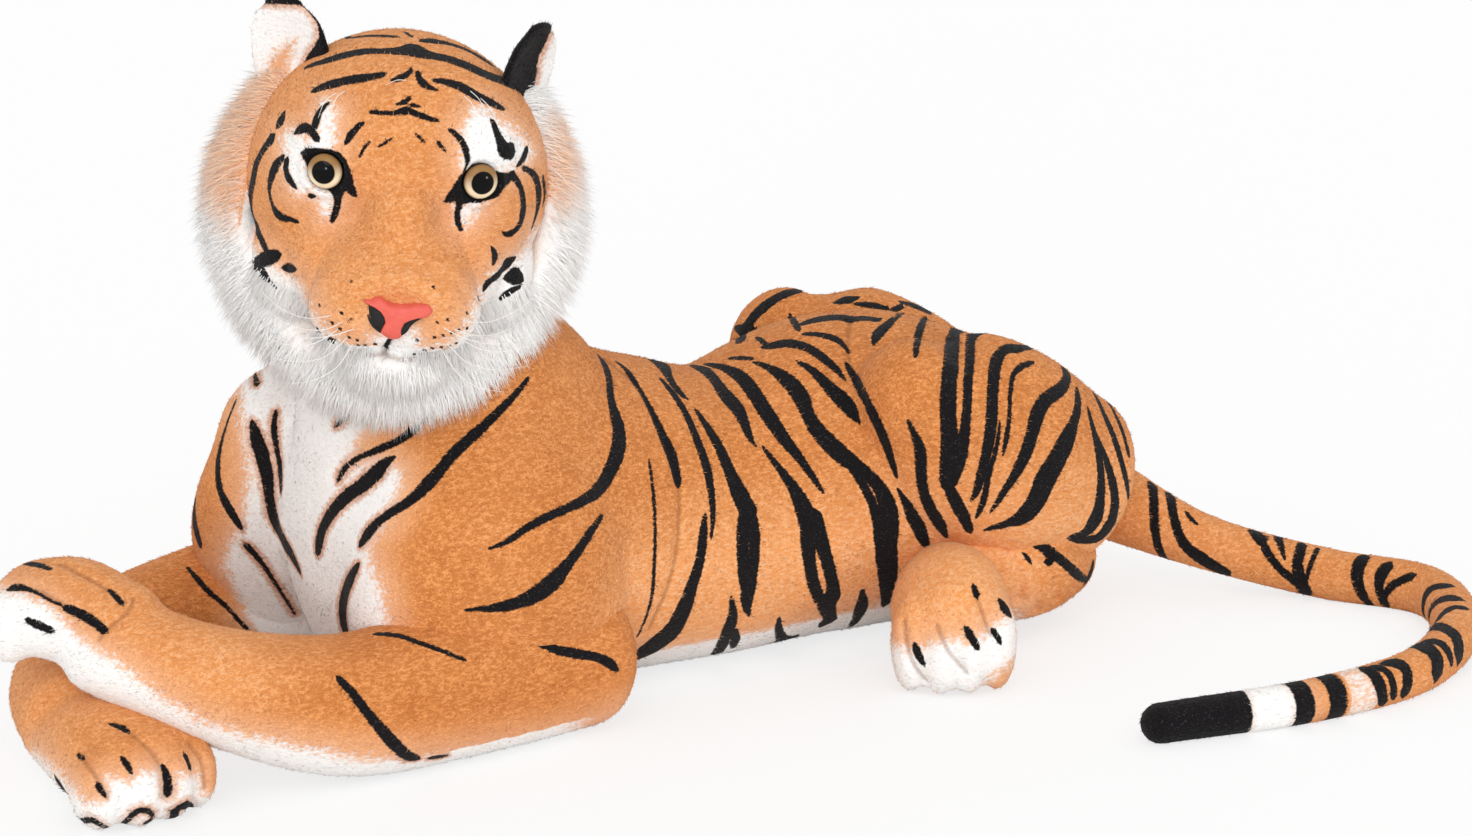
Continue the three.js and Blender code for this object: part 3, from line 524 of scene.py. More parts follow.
def ruff_form(rows, side):
    rows = np.array(rows, float)
    wide, girth = RUFF_TUCK
    at = rows[:, :3] * np.array((HEAD_SIZE[0], HEAD_SIZE[1] * side * wide, HEAD_SIZE[2] * wide))
    half = rows[:, 3:5] * np.array((RUFF_THICKNESS, RUFF_DEPTH)) * girth
    return loft(at, half, caps("ruff", RUFF_THICKNESS), up=(1, 0, 0), sides=20, rings=20)


# Objects and meshes.
def gathered(forms):
    places, faces, start = [], [], 0
    for form_places, form_faces in forms:
        places.append(form_places)
        faces += [tuple(corner + start for corner in face) for face in form_faces]
        start += len(form_places)
    return np.vstack(places), faces


def linked(name, data):
    obj = bpy.data.objects.new(name, data)
    bpy.context.scene.collection.objects.link(obj)
    return obj


def add_object(name, places, faces):
    mesh = bpy.data.meshes.new(name)
    mesh.from_pydata(np.asarray(places).tolist(), [], faces)
    mesh.update()
    mesh.shade_smooth()
    return linked(name, mesh)


def store(obj, name, values):
    """Keeps a number or a triple for each point on the mesh, where the finish reads it."""
    values = np.asarray(values, np.float32)
    kind, key = ("FLOAT", "value") if values.ndim == 1 else ("FLOAT_VECTOR", "vector")
    obj.data.attributes.new(name, kind, "POINT").data.foreach_set(key, values.ravel())


def read_points(obj, key):
    out = np.empty(len(obj.data.vertices) * 3, np.float32)
    obj.data.vertices.foreach_get(key, out)
    return out.reshape(-1, 3).astype(float)


def places_of(obj):
    return read_points(obj, "co")


def normals_of(obj):
    return unit(read_points(obj, "normal"))


def set_places(obj, places):
    obj.data.vertices.foreach_set("co", places.astype(np.float32).ravel())
    obj.data.update()


def relax(obj, rounds, share=0.5):
    """Draws each point towards its neighbours, so that sewn forms run into each other.

    The share may be one number or one for each point.
    """
    edges = np.empty(len(obj.data.edges) * 2, np.int32)
    obj.data.edges.foreach_get("vertices", edges)
    a, b = edges.reshape(-1, 2).T
    places = places_of(obj)
    size = len(places)
    count = np.maximum(np.bincount(edges, minlength=size), 1)[:, None]
    for _ in range(rounds):
        total = [np.bincount(a, row[b], size) + np.bincount(b, row[a], size) for row in places.T]
        places += np.reshape(share, (-1, 1)) * (np.stack(total, 1) / count - places)
    set_places(obj, places)


def applied(obj):
    """Puts the result of the object's modifiers in its mesh."""
    graph = bpy.context.evaluated_depsgraph_get()
    mesh = bpy.data.meshes.new_from_object(obj.evaluated_get(graph))
    obj.modifiers.clear()
    old, obj.data = obj.data, mesh
    bpy.data.meshes.remove(old)
    return obj


def remeshed(obj, spacing):
    remesh = obj.modifiers.new("one skin", "REMESH")
    remesh.mode = "VOXEL"
    remesh.voxel_size = spacing
    remesh.use_smooth_shade = True
    return applied(obj)


def one_skin(name, forms, spacing, rounds):
    """One closed skin round several forms."""
    obj = remeshed(add_object(name, *gathered(forms)), spacing)
    relax(obj, rounds)
    return obj


def above_floor(places):
    """Nothing of the toy lies under the floor."""
    places[:, 2] = np.maximum(places[:, 2], FLOOR_CLEARANCE)
    return places


def settle(obj):
    set_places(obj, above_floor(places_of(obj)))


def nearest_on(tree, places):
    """The places and normals of a skin that lie nearest to some places."""
    found = [tree.find_nearest(Vector(place)) for place in places]
    return np.array([entry[0] for entry in found]), np.array([entry[1] for entry in found])


# Print: strokes and patches on a skin, kept per point of the mesh as distances in metres.
FAR, AWAY = 0.03, -0.02
# The distance to a white patch where a skin has none.
NOT_WHITE = 0.05
PRINT_LAYERS = 3
PRINT_NAMES = ("print_a", "print_b", "print_c")
STROKE_STEP_PIXELS = 3.0
STRIPE_SPREAD, STRIPE_BLEED = 1.03, 0.0002
# The blank skin that a stripe clears round itself, at its middle and at its ends.
STRIPE_REACH, STRIPE_TIP_REACH = 0.0044, 0.0008
PATH_REACH = 0.014
# A path marks points this far above or below it, and this far past its own width.
SKIN_DEPTH, SIDE_PLAY = 0.010, 0.006
# Where a point's normal turns further from the path's than this, it lies on another fold.
SAME_FOLD = 0.05
LEAST_FORESHORTENING = 0.4
# How fast a hidden stripe thins out where the skin turns to the camera, and how early that starts.
HIDING, HIDING_START = 0.12, 0.04
PATCH_MARGIN = 40
LAY_STEPS = 40
CREASE_WIDTH = 0.004


def stroke_stops(stroke):
    return np.array([[float(value) for value in stop.split(",")] for stop in stroke.split()])


def strokes(text):
    """The strokes or outlines of a table, one to a line."""
    return tuple(text.strip().split("\n"))


def outline_gap(points, loop):
    """How far flat points lie from an outline, negative inside it."""
    gap, inside = np.full(len(points), 1e9), np.zeros(len(points), bool)
    for start, stop in zip(loop, np.roll(loop, -1, axis=0)):
        span = stop - start
        share = np.clip((points - start) @ span / (span @ span), 0, 1)
        gap = np.minimum(gap, np.linalg.norm(points - start - share[:, None] * span, axis=1))
        rise = points[:, 1] - start[1]
        crosses = (start[1] > points[:, 1]) != (stop[1] > points[:, 1])
        inside ^= crosses & (points[:, 0] < start[0] + rise * span[0] / (span[1] or 1e-9))
    return np.where(inside, -gap, gap)


def evened(rows):
    """Takes the jumps out of a line that runs over a fold."""
    if len(rows) < 7:
        return rows
    padded = np.pad(rows, ((2, 2), (0, 0)), "edge")
    out = sum(padded[i : i + len(rows)] for i in range(5)) / 5
    out[:2], out[-2:] = rows[:2], rows[-2:]
    return out


class Print:
    """The stripes, patches and seams of one skin."""

    def __init__(self, obj, white=NOT_WHITE):
        self.obj = obj
        self.places, self.normals = places_of(obj), normals_of(obj)
        self.grow_tree()
        count = len(self.places)
        self.layers = [(np.full(count, FAR), np.full(count, AWAY)) for _ in range(PRINT_LAYERS)]
        self.laid = [[] for _ in range(PRINT_LAYERS)]
        self.white = np.full(count, float(white))
        # Where the seams run, for the painted shade along their creases.
        self.seam = (np.full(count, FAR), np.full(count, AWAY))
        self.tone = np.zeros(count)

    def grow_tree(self):
        polygons = [tuple(polygon.vertices) for polygon in self.obj.data.polygons]
        self.tree = BVHTree.FromPolygons(self.places.tolist(), polygons)

    def cast(self, stroke, strict=False):
        """Places, normals and half widths on the skin of a stroke given in pixels.

        A strict cast leaves out the stretches that miss the skin.
        """
        stops = stroke_stops(stroke)
        if len(stops) == 1:
            stops = np.vstack([stops, stops + (0.5, 0.5, 0)])
        reach = np.linalg.norm(np.diff(stops[:, :2], axis=0), axis=1).sum()
        steps = max(3, int(reach / STROKE_STEP_PIXELS))
        path = smooth_line(stops, np.linspace(0, 1, steps))
        places, normals, depth, kept = [], [], None, []
        eye = Vector(camera_eye)
        for step, (x, y, _) in enumerate(path):
            aim = Vector(pixel_direction(x, y))
            place, normal, _, reached = self.tree.ray_cast(eye, aim)
            if place is None and strict:
                continue
            kept.append(step)
            if place is None:
                place, normal, _, _ = self.tree.find_nearest(eye + aim * (depth or CAMERA_REACH))
            else:
                depth = reached
            places.append(place)
            normals.append(normal)
        if len(kept) < 3:
            return None
        path = path[kept]
        places, normals = evened(np.array(places)), unit(evened(np.array(normals)))
        across = unit(np.cross(normals, np.gradient(places, axis=0)))
        on_screen = pixels_of(places + across * 1e-3) - pixels_of(places)
        along = unit(np.gradient(path[:, :2], axis=0))
        pixels = np.abs(on_screen[:, 0] * along[:, 1] - on_screen[:, 1] * along[:, 0]) * 1e3
        half = path[:, 2] / 2 / np.maximum(pixels, LEAST_FORESHORTENING * FOCAL_PIXELS / CAMERA_REACH)
        return places, normals, half

    def mirrored(self, path, shift=(0.0, 0.0, 0.0)):
        """The same stroke on the body's other side."""
        return (*nearest_on(self.tree, path[0] * (1, -1, 1) + np.array(shift)), path[2])

    def distances(self, path, reach):
        """The points that a path comes near, how far across it they lie and its half width left there."""
        places, normals, half = path
        low, high = places.min(0) - reach - half.max(), places.max(0) + reach + half.max()
        near = np.flatnonzero(((self.places > low) & (self.places < high)).all(1))
        if not len(near):
            return near, None, None
        starts, spans = places[:-1], np.diff(places, axis=0)
        lengths = np.maximum((spans**2).sum(1), 1e-12)
        points = self.places[near]
        best = np.full(len(near), 1e9)
        pick, share, past = np.zeros(len(near), int), np.zeros(len(near)), np.zeros(len(near))
        for i, (start, span, length) in enumerate(zip(starts, spans, lengths)):
            loose = (points - start) @ span / length
            t = np.clip(loose, 0, 1)
            gap = ((points - start - t[:, None] * span) ** 2).sum(1)
            closer = gap < best
            best[closer], pick[closer], share[closer] = gap[closer], i, t[closer]
            if i in (0, len(spans) - 1):
                over = np.maximum(loose - 1, 0) if i else np.maximum(-loose, 0)
                if len(spans) == 1:
                    over = np.maximum(np.maximum(loose - 1, -loose), 0)
                past[closer] = (over * length**0.5)[closer]
            else:
                past[closer] = 0
        normal = unit(normals[pick] * (1 - share)[:, None] + normals[pick + 1] * share[:, None])
        along = unit(spans[pick])
        offset = points - starts[pick] - share[:, None] * spans[pick]
        across = (offset * unit(np.cross(normal, along))).sum(1)
        aside = np.abs((offset * normal).sum(1))
        width = half[pick] * (1 - share) + half[pick + 1] * share
        left = width - past - np.maximum(aside - SKIN_DEPTH, 0)
        left = left - np.maximum(np.abs(across) - width - SIDE_PLAY, 0)
        left[(self.normals[near] * normal).sum(1) < SAME_FOLD] = AWAY
        return near, across, left

    def draw(self, layer, near, across, left):
        """Keeps the stronger of two marks at each point."""
        d, w = layer
        stronger = np.abs(across) - left < np.abs(d[near]) - w[near]
        d[near[stronger]], w[near[stronger]] = across[stronger], left[stronger]

    def ink(self, path, hidden=False):
        """Prints a stripe. A hidden one shows only on the side that the camera doesn't see."""
        if path is None:
            return
        path = (path[0], path[1], path[2] * STRIPE_SPREAD + STRIPE_BLEED)
        near, across, left = self.distances(path, PATH_REACH)
        if not len(near):
            return
        if hidden:
            towards = (unit(camera_eye - self.places[near]) * self.normals[near]).sum(1)
            left = left - HIDING * np.maximum(towards + HIDING_START, 0)
        stops, thick = path[0][::3], path[2].max()
        crowd = []
        for laid in self.laid:
            gaps = [np.linalg.norm(stops[:, None] - other[None], axis=2).min() - wide for other, wide in laid]
            crowd.append(min(gaps, default=1.0) - thick)
        layer = next((i for i, gap in enumerate(crowd) if gap > 2 * STRIPE_REACH), int(np.argmax(crowd)))
        self.laid[layer].append((stops, thick))
        clear = np.abs(across) - left > np.clip(STRIPE_REACH - 2 * left, STRIPE_TIP_REACH, STRIPE_REACH)
        left, across = np.where(clear, left - np.abs(across), left), np.where(clear, 0, across)
        self.draw(self.layers[layer], near, across, left)

    def stitch(self, path):
        """Draws the line of painted shade along a seam's crease."""
        near, across, left = self.distances(path, PATH_REACH)
        if len(near):
            self.draw(self.seam, near, across, left)

    def lay(self, stroke, view, flip=1):
        """A path like that of cast, for a stroke in millimetres seen straight from above or behind."""
        path = smooth_line(stroke_stops(stroke), np.linspace(0, 1, LAY_STEPS))
        places, normals, half = [], [], []
        for first, second, width in path / 1000:
            if view == "above":
                start, aim = Vector((first, second * flip, 1)), Vector((0, 0, -1))
            else:
                start, aim = Vector((1, first * flip, second)), Vector((-1, 0, 0))
            place, normal, _, _ = self.tree.ray_cast(start, aim)
            if place is not None:
                places.append(place)
                normals.append(normal)
                half.append(width / 2)
        if len(places) < 3:
            return None
        return evened(np.array(places)), unit(evened(np.array(normals))), np.array(half)

    def patch(self, field, corners, mirrored=False):
        """Widens a patch by an outline in pixels, where the skin faces the camera."""
        flip = np.array((1, -1 if mirrored else 1, 1))
        places, normals = self.places * flip, self.normals * flip
        loop, seen = stroke_stops(corners), pixels_of(places)
        facing = ((camera_eye - places) * normals).sum(1) > 0
        inside_box = (seen > loop.min(0) - PATCH_MARGIN) & (seen < loop.max(0) + PATCH_MARGIN)
        near = np.flatnonzero(facing & inside_box.all(1))
        edge = outline_gap(seen[near], loop) * CAMERA_REACH / FOCAL_PIXELS
        field[near] = np.minimum(field[near], edge)

    def whiten(self, patches, mirrored=False):
        for corners in patches:
            self.patch(self.white, corners, mirrored)

    def ink_all(self, strokes, **settings):
        for stroke in strokes:
            self.ink(self.cast(stroke, **settings))

    def ink_field(self, edge):
        """Prints a black patch that is given as a signed distance, negative inside it."""
        d, w = self.layers[-1]
        stronger = edge < np.abs(d) - w
        d[stronger], w[stronger] = 0, -edge[stronger]

    def ink_patch(self, corners, mirrored=False):
        edge = np.full(len(self.places), FAR)
        self.patch(edge, corners, mirrored)
        self.ink_field(edge)

    def press(self, path, depth, width=CREASE_WIDTH):
        """Sinks a sewn crease along a path."""
        near, across, left = self.distances(path, 3 * width)
        if len(near):
            share = np.exp(-((across / width) ** 2)) * np.clip((left + width) / width, 0, 1)
            self.places[near] -= self.normals[near] * (depth * share)[:, None]

    def keep_shape(self):
        """Writes pressed places back to the mesh."""
        set_places(self.obj, self.places)
        self.normals = normals_of(self.obj)

    def fields(self):
        """The names and values that the finish reads: a layer of stripes and one more value each."""
        extras = (self.white, self.seam[0], self.seam[1])
        for name, (d, w), extra in zip(PRINT_NAMES, self.layers, extras):
            yield name, (d, w, extra)

    def write(self):
        """Stores the print on the mesh, where the finish reads it."""
        for name, values in self.fields():
            store(self.obj, name, np.stack(values, 1))
        store(self.obj, "tone", self.tone)


# Stripes, patches and seams, read off the photograph: x, y and full width, in its pixels.
TRUNK_STRIPES = strokes("""
598,352,3 608,375,6 611,400,7 619,430,12 618,450,14 608,475,13 595,493,12 570,507,9 545,518,8 525,529,7 \
505,543,5 488,549,2
578,328,1.5 586,336,3 594,347,2
617,362,2 627,370,3 640,388,4 652,410,6 663,435,8 672,455,9 679,483,8
649,460,2 653,490,3 655,530,3 654,570,3 652,595,3 645,620,2 637,637,1.5
633,352,2 650,357,4 662,366,10 670,380,6 680,393,5 688,400,2
660,378,2 672,392,5 685,412,6 697,440,7 706,465,8 711,490,7 713,515,5 711,540,2
705,515,4 703,535,8 700,560,9 692,585,11 683,610,14 672,630,16 655,645,14 640,655,10 628,661,4
696,410,3 706,425,6 718,445,9 729,470,11 740,495,16 750,515,18
746,508,12 743,530,12 743,555,12 745,580,12 748,592,12
750,512,12 754,530,11 754,555,11 751,575,12 748,590,14 747,605,10 749,616,3
692,365,3 705,371,8 716,382,9 725,395,12 738,410,12 745,425,9 750,438,6 756,446,2
706,364,3 725,368,7 742,378,13 757,398,14 771,420,14 785,440,12 797,455,9 808,470,7 818,485,5 824,494,2
763,447,3 775,463,6 788,480,9 800,500,15 808,520,20
808,512,16 808,540,15 810,565,12 814,585,12 820,600,12
814,515,15 821,540,14 828,565,12 833,590,13 827,605,18 830,618,12 822,626,4
754,362,3 770,368,7 787,380,14 800,395,16 808,415,13 817,430,15 833,447,17 848,460,16 866,473,12 882,492,14 \
888,515,20 886,545,22 888,575,19 887,600,10 884,606,4
848,462,8 860,480,8 871,500,9 877,520,10 880,540,12
797,361,3 812,370,7 827,385,11 842,400,15 853,412,12 860,424,2
847,362,5 858,385,9 868,405,9 878,425,9 886,445,8 893,465,6 897,479,2
763,347,4 775,345,7 787,343,8 800,345,8 812,350,8 827,361,8 838,371,6 845,380,2
804,334,3 813,334,4 823,335,5 836,339,6 845,345,5 849,351,3
800,325,3 815,320,6 835,317,8 860,318,8 878,319,4
730,358,3 742,358,4 752,359,3
756,337,3 762,341,5 767,346,4
790,316,4 796,325,7 799,331,4
835,303,3 845,300,8 858,297,3
731,597,3 733,615,9 728,630,11 722,645,10 715,655,7 710,657,3
735,630,6 735,640,10 733,648,4
779,618,3 778,630,8 783,640,12 795,636,5
783,640,12 778,647,6
862,590,4 862,605,12 856,620,7 850,627,3
""")
FAR_HIP_STRIPES = ("740,342,8 747,325,8 760,310,9 778,297,8 798,290,6 815,288,3",)
HAUNCH_STRIPES = strokes("""
908,420,3 913,432,6 920,448,11 921,470,11 923,490,10 930,508,11 940,525,11 946,537,4
897,488,2 905,500,7 912,515,12 920,530,13 926,545,8 929,549,3
976,329,4 965,329,8 955,331,10 952,345,14 950,370,15 948,400,16 949,430,16 951,450,20 950,470,20 948,485,14 \
951,492,6
1003,328,3 985,331,6 972,336,9 970,355,9 968,380,9 967,405,9 965,430,10 961,450,14 957,470,12 952,485,8
945,475,6 952,495,12 963,515,12 970,531,8
1038,346,3 1020,348,7 1003,350,10 996,362,12 993,385,11 992,410,11 990,435,11 985,460,10 980,480,9 \
975,495,6 971,501,2
1000,422,2 998,440,4 993,460,5 988,475,6 986,490,6 982,505,6 976,518,3
1033,362,4 1022,366,6 1013,375,5 1010,395,4 1009,420,4 1006,440,5 1003,455,2
1052,352,2 1062,363,4 1067,378,8 1060,390,13 1045,400,14 1037,415,14 1032,435,12 1025,455,12 1015,475,9 \
1005,490,7 997,503,5 990,513,2
1077,388,3 1078,405,7 1074,422,9 1067,440,16 1057,460,18 1045,480,20 1037,500,18 1025,515,16 1012,522,9 \
995,527,5 985,530,3
1088,408,2 1092,425,4 1098,450,6 1101,475,7 1100,500,9 1095,520,12 1085,533,8 1070,537,4
1096,435,3 1106,460,6 1113,485,8 1115,505,8 1110,525,9 1098,538,8 1080,540,7 1068,538,3
1076,363,1.5 1090,385,3 1102,410,4 1113,435,5 1121,460,5 1127,485,4 1129,500,2
1095,380,1.5 1110,405,2.5 1122,430,3 1129,455,3
900,302,2 915,306,5 930,311,7 940,312,3
855,304,3 870,305,6 885,308,4 895,312,2
873,345,3 877,335,10 886,325,8 896,318,4 904,313,2
915,357,4 918,340,7 921,325,7 926,317,4
1127,515,2 1126,530,4 1122,545,6 1118,557,5
990,320,3 1000,326,6 1004,329,4
940,320,2 960,320,3 978,320,2
""")
SHANK_STRIPES = strokes("""
1018,531,4 1025,534,7 1040,545,10 1055,555,9 1068,566,9 1080,577,9 1090,581,3
1093,562,3 1098,575,6 1096,588,6 1092,590,2
1127,515,2 1126,530,4 1122,545,6 1118,557,5
985,533,3 995,540,6 1003,545,3
1025,552,3 1030,558,5 1034,564,2
""")
SHOULDER_STRIPES = strokes("""
528,378,4 515,395,6 500,410,8 485,425,9 468,440,11 452,455,11 440,470,11 425,487,12 408,502,9 392,512,8 \
377,523,8 367,535,9 360,545,5
602,516,4 592,530,7 580,548,9 567,565,11 555,580,16 540,592,16 520,602,12 500,607,9 480,609,5 465,610,2
433,402,9 423,415,9 413,430,9 398,441,7 380,449,7 360,457,5 345,468,5 338,481,4
395,457,3 385,463,10 375,475,14 360,487,13 345,498,12 330,515,10 322,530,8 318,548,7 317,555,3
358,565,5 350,580,8 344,600,8 343,620,7 348,640,4
335,427,3 342,418,7 352,410,8 365,404,4
252,422,5 256,437,12 262,455,14 267,475,12 270,500,9 275,520,9 283,540,8 292,555,6 300,572,3
276,410,3 274,425,6 276,445,5 280,465,4 281,490,4
236,400,1.5 225,430,2 218,460,4 220,490,6 230,510,8 241,528,5
246,545,6 258,558,5 270,575,4 285,598,3 295,615,2
257,385,6 254,370,2
""")
FAR_SHOULDER_STRIPES = strokes("""
195,500,4 194,520,6 200,545,4
188,568,3 198,580,5 210,593,5 225,605,4 240,622,4 260,643,3
""")
LEFT_FORELEG_STRIPES = strokes("""
338,678,6 350,690,8 365,710,9 380,728,11 395,745,12 408,756,10 418,759,5
430,758,3 445,756,3
375,634,3 395,635,4 420,643,4 445,652,4 465,660,3
525,635,5 540,643,7 560,651,9 580,654,9 600,658,9 612,665,9 617,670,5
27,563,4 38,565,5 50,569,4
8,587,6 20,586,6 35,591,3 50,600,3 60,604,3
65,607,8 80,613,9 92,620,9 105,630,8
27,620,6 38,625,8 52,631,7
110,588,3 118,597,5 123,602,4
""")
RIGHT_FORELEG_STRIPES = strokes("""
105,572,3 120,582,5 135,595,4 140,598,2
188,568,3 198,580,5 210,593,5 225,605,4 240,622,4 260,643,3
57,780,5 62,788,6 68,796,4
97,785,6 105,797,4
122,758,5 127,765,6 131,772,4
163,765,4 168,780,8 168,795,8
185,755,4 190,768,3
76,754,5 82,757,4
110,723,3 120,725,5 128,730,4
76,826,4 82,820,5 92,819,5 102,825,5 108,833,5
121,832,4 126,821,5 134,813,5 143,809,5 152,813,5 154,822,5 149,832,4
162,828,4 169,817,5 178,808,5 189,803,5 192,811,4 184,820,4 174,827,4
""")
HIND_PAW_STRIPES = strokes("""
915,645,6 918,655,8 924,665,4
966,628,6 971,637,8 978,648,6
974,586,5 978,595,6
1000,600,4 1005,608,8 1011,616,3
993,630,5 998,638,5 1001,644,3
""") + SHANK_STRIPES
CHEST_WHITE = strokes("""
243,372 300,366 350,378 372,396 362,425 350,450 340,478 352,470 372,464 386,462 395,472 396,486 387,503 \
380,520 366,540 366,562 376,590 382,620 384,652 350,656 300,656 270,650 255,622 240,594 228,566 234,546 \
246,522 252,472 247,432
""")
BELLY_WHITE = strokes("""
590,672 640,660 680,658 720,655 760,650 790,643 812,634 826,626 842,624 856,618 880,609 905,600 905,634 \
850,656 760,678 660,690 600,692
""")
LEFT_FORELEG_WHITE = strokes("""
-8,592 20,596 40,606 58,622 75,642 100,658 130,676 150,694 175,709 200,726 250,741 300,752 350,761 400,764 \
430,764 477,758 525,750 560,743 600,731 640,714 610,745 570,770 440,795 370,805 290,800 200,775 100,735 \
30,690 -8,650
""")
RIGHT_FOREPAW_WHITE = strokes("""
34,756 56,776 74,794 88,808 108,802 112,784 130,788 146,778 156,774 160,802 176,804 180,780 194,778 203,798 \
222,808 222,850 30,850
250,612 280,596 380,590 380,700 300,690 264,655
""")
HIND_PAW_WHITE = strokes("""
884,644 900,648 914,654 928,649 944,645 956,644 968,648 980,641 990,634 1000,627 1016,618 1016,650 990,675 \
960,705 925,705 890,685
""")
TRUNK_SEAMS = strokes("""
598,352,2 640,388,2 663,435,2 679,484,2 680,520,2 676,560,2 668,590,2 650,630,2
850,320,2 848,352,2 856,382,2 864,405,2
""")
HIND_PAW_CREASES = strokes("""
903,620,2 906,645,2 914,666,2 925,682,2
936,625,2 945,645,2 955,660,2 966,674,2
976,592,2 981,606,2 986,620,2 992,636,2
""")
HIND_WRINKLES = strokes("""
1008,543,2 1018,560,2 1022,580,2 1020,600,2
1026,548,2 1038,568,2 1042,590,2 1038,612,2
1046,560,2 1056,580,2 1058,600,2
""")
LEFT_FOREPAW_CREASES = strokes("""
6,586,2 35,589,2 60,602,2 85,618,2 100,628,2
60,562,2 85,575,2 105,586,2 123,603,2
135,597,2 128,612,2 112,624,2 104,632,2 98,640,2
""")
RIGHT_FOREPAW_CREASES = strokes("""
76,752,2 90,770,2 100,785,2 108,799,2
115,722,2 138,738,2 155,755,2 165,775,2 169,797,2
190,742,2 202,762,2 206,790,2
""")
TAIL_BANDS = strokes("""
1143,462,6 1147,470,8 1153,490,9 1154,520,9 1158,546,8 1165,560,6
1166,484,6 1170,496,9 1174,518,9 1183,543,10 1200,558,12 1224,573,10
1186,512,3 1192,520,4 1197,524,3
1250,524,12 1257,535,11 1270,557,8 1285,574,8 1303,586,10 1308,592,8
1277,536,9 1281,548,6 1285,560,2
1303,540,10 1299,556,11 1297,566,11 1301,582,14 1305,594,12
1320,545,5 1313,558,5 1309,570,5 1306,580,4
1364,556,12 1358,568,13 1357,580,12 1362,594,9 1372,608,6 1376,614,5
1388,565,12 1380,577,12 1379,588,9 1384,602,8 1394,617,6 1398,622,5
1412,576,8 1402,580,8 1391,586,8 1384,597,7
1450,586,5 1440,586,6 1430,589,6 1424,600,5 1424,615,4 1430,626,3
1459,599,6 1448,598,7 1438,601,6 1430,611,5 1429,624,3
1466,608,4 1456,607,5 1445,611,5 1436,622,3
1426,630,5 1434,627,8 1444,628,9 1455,635,10 1459,645,10 1459,658,8
1416,647,5 1424,642,6 1434,641,6 1444,645,7 1450,657,6 1452,664,4
1414,643,9 1424,647,11 1433,652,12 1438,662,12 1437,676,9
1384,664,7 1394,662,10 1404,666,10 1408,677,10 1405,694,9
1374,667,7 1384,669,6 1391,677,7 1394,698,7
1364,668,8 1371,672,10 1378,681,12 1382,694,11 1383,704,10
""")
HEAD_STRIPES = strokes("""
306,67,3 325,61,5 341,56,6 360,52,6 379,51,5 401,51,8 412,50,14 422,53,10 435,56,7 452,60,7 470,67,7 \
487,75,7 505,82,7 518,88,4
330,40,1.5 350,38,2 365,36,2.5 385,36,3 398,37,2
405,32,2 412,37,2
423,41,4 435,41,5 450,44,4 465,49,4 480,57,5 492,65,3
313,91,4 325,86,7 340,82,8 355,79,8 370,77,7 384,74,5
392,80,3 403,78,6 410,72,5 411,68,3
418,72,5 420,82,7 428,87,5 437,90,2
433,80,3 445,82,6 460,86,8 475,95,8 488,101,7 500,107,5 504,109,2
371,112,4 385,113,4 398,113,5 405,110,8 412,112,6 425,117,5 438,121,3
397,104,3 405,102,5 410,97,3
412,105,4 420,107,2
363,123,4 355,128,6 350,137,6 346,143,4
450,130,4 458,136,5 464,145,6 467,155,5 466,163,3 463,172,2
370,141,2 363,150,3 359,158,1.5
378,147,2 385,143,2 392,138,2
416,134,2 424,142,2
438,142,3 445,151,3
297,131,6 306,126,9 312,132,8 318,140,6
329,103,2 320,110,5 316,120,7 315,128,6
310,196,6 316,195,3
284,113,3 280,122,7 277,127,3
272,138,8 263,150,5 256,165,5 253,180,5 250,200,5 254,220,5 262,240,5 268,255,5
283,157,5 276,165,8 271,178,6 269,190,3 272,205,3 280,217,7 290,219,5 298,222,3
287,160,5 285,170,5 290,180,6 296,188,3
492,121,4 497,130,6 500,140,8 505,150,15 510,153,15 513,147,9
527,148,4 523,160,5 517,166,3
512,175,8 520,185,5 523,200,5 523,215,5 518,228,4 507,235,6 503,232,2
523,168,5 533,173,6 538,185,6 539,200,5 536,215,3 532,228,2
543,178,3 545,195,3 543,205,2
492,248,3 495,256,6 493,264,3
484,290,3 487,282,6 495,278,5 503,268,5 508,262,8 515,258,3
505,278,6 515,276,18 522,280,8
500,299,4 508,292,6 520,287,4
255,262,8 268,258,16 278,255,10
252,266,6 262,272,10 270,282,3 278,290,2
284,268,6 290,268,10 296,269,3
393,339,4 388,345,4 384,353,4
""")
WHISKER_DOTS = strokes("""
319,305 341,313 351,319 332,323 340,329 349,337 357,340 318,330 330,342 342,346 350,352 358,345 365,345
375,344 351,281 437,322 447,319 467,313 478,298 433,287 434,337 443,335 451,333 459,330 467,328 417,340
424,350 432,348 441,347 449,346 456,343 415,355 425,357 440,356
""")
WHISKER_DOT_WIDTH = 3.2
FACE_WHITE = strokes("""
327,106 332,112 331,125 331,140 329,149 318,149 305,151 302,156 305,167 309,178 316,186 325,190 331,194 \
333,201 331,211 327,213 324,206 320,198 313,192 300,189 295,183 291,171 288,159 289,150 288,140 290,134 \
297,138 306,142 316,142 320,131 322,118
470,122 476,112 484,113 490,120 500,125 508,130 516,138 524,146 528,152 524,158 516,162 508,170 498,170 \
488,167 476,167 466,169 465,160 467,150 467,138 468,130
463,204 471,202 481,200 478,208 472,216 466,222 461,219 460,211
236,240 262,258 275,272 290,282 300,290 308,315 326,335 348,350 371,352 380,345 374,340 384,335 394,337 \
402,336 407,330 413,331 416,341 413,349 428,352 446,350 458,342 470,328 478,308 484,290 491,284 500,272 \
512,262 522,256 530,246 538,232 560,236 560,320 520,400 400,430 280,400 225,320
""")
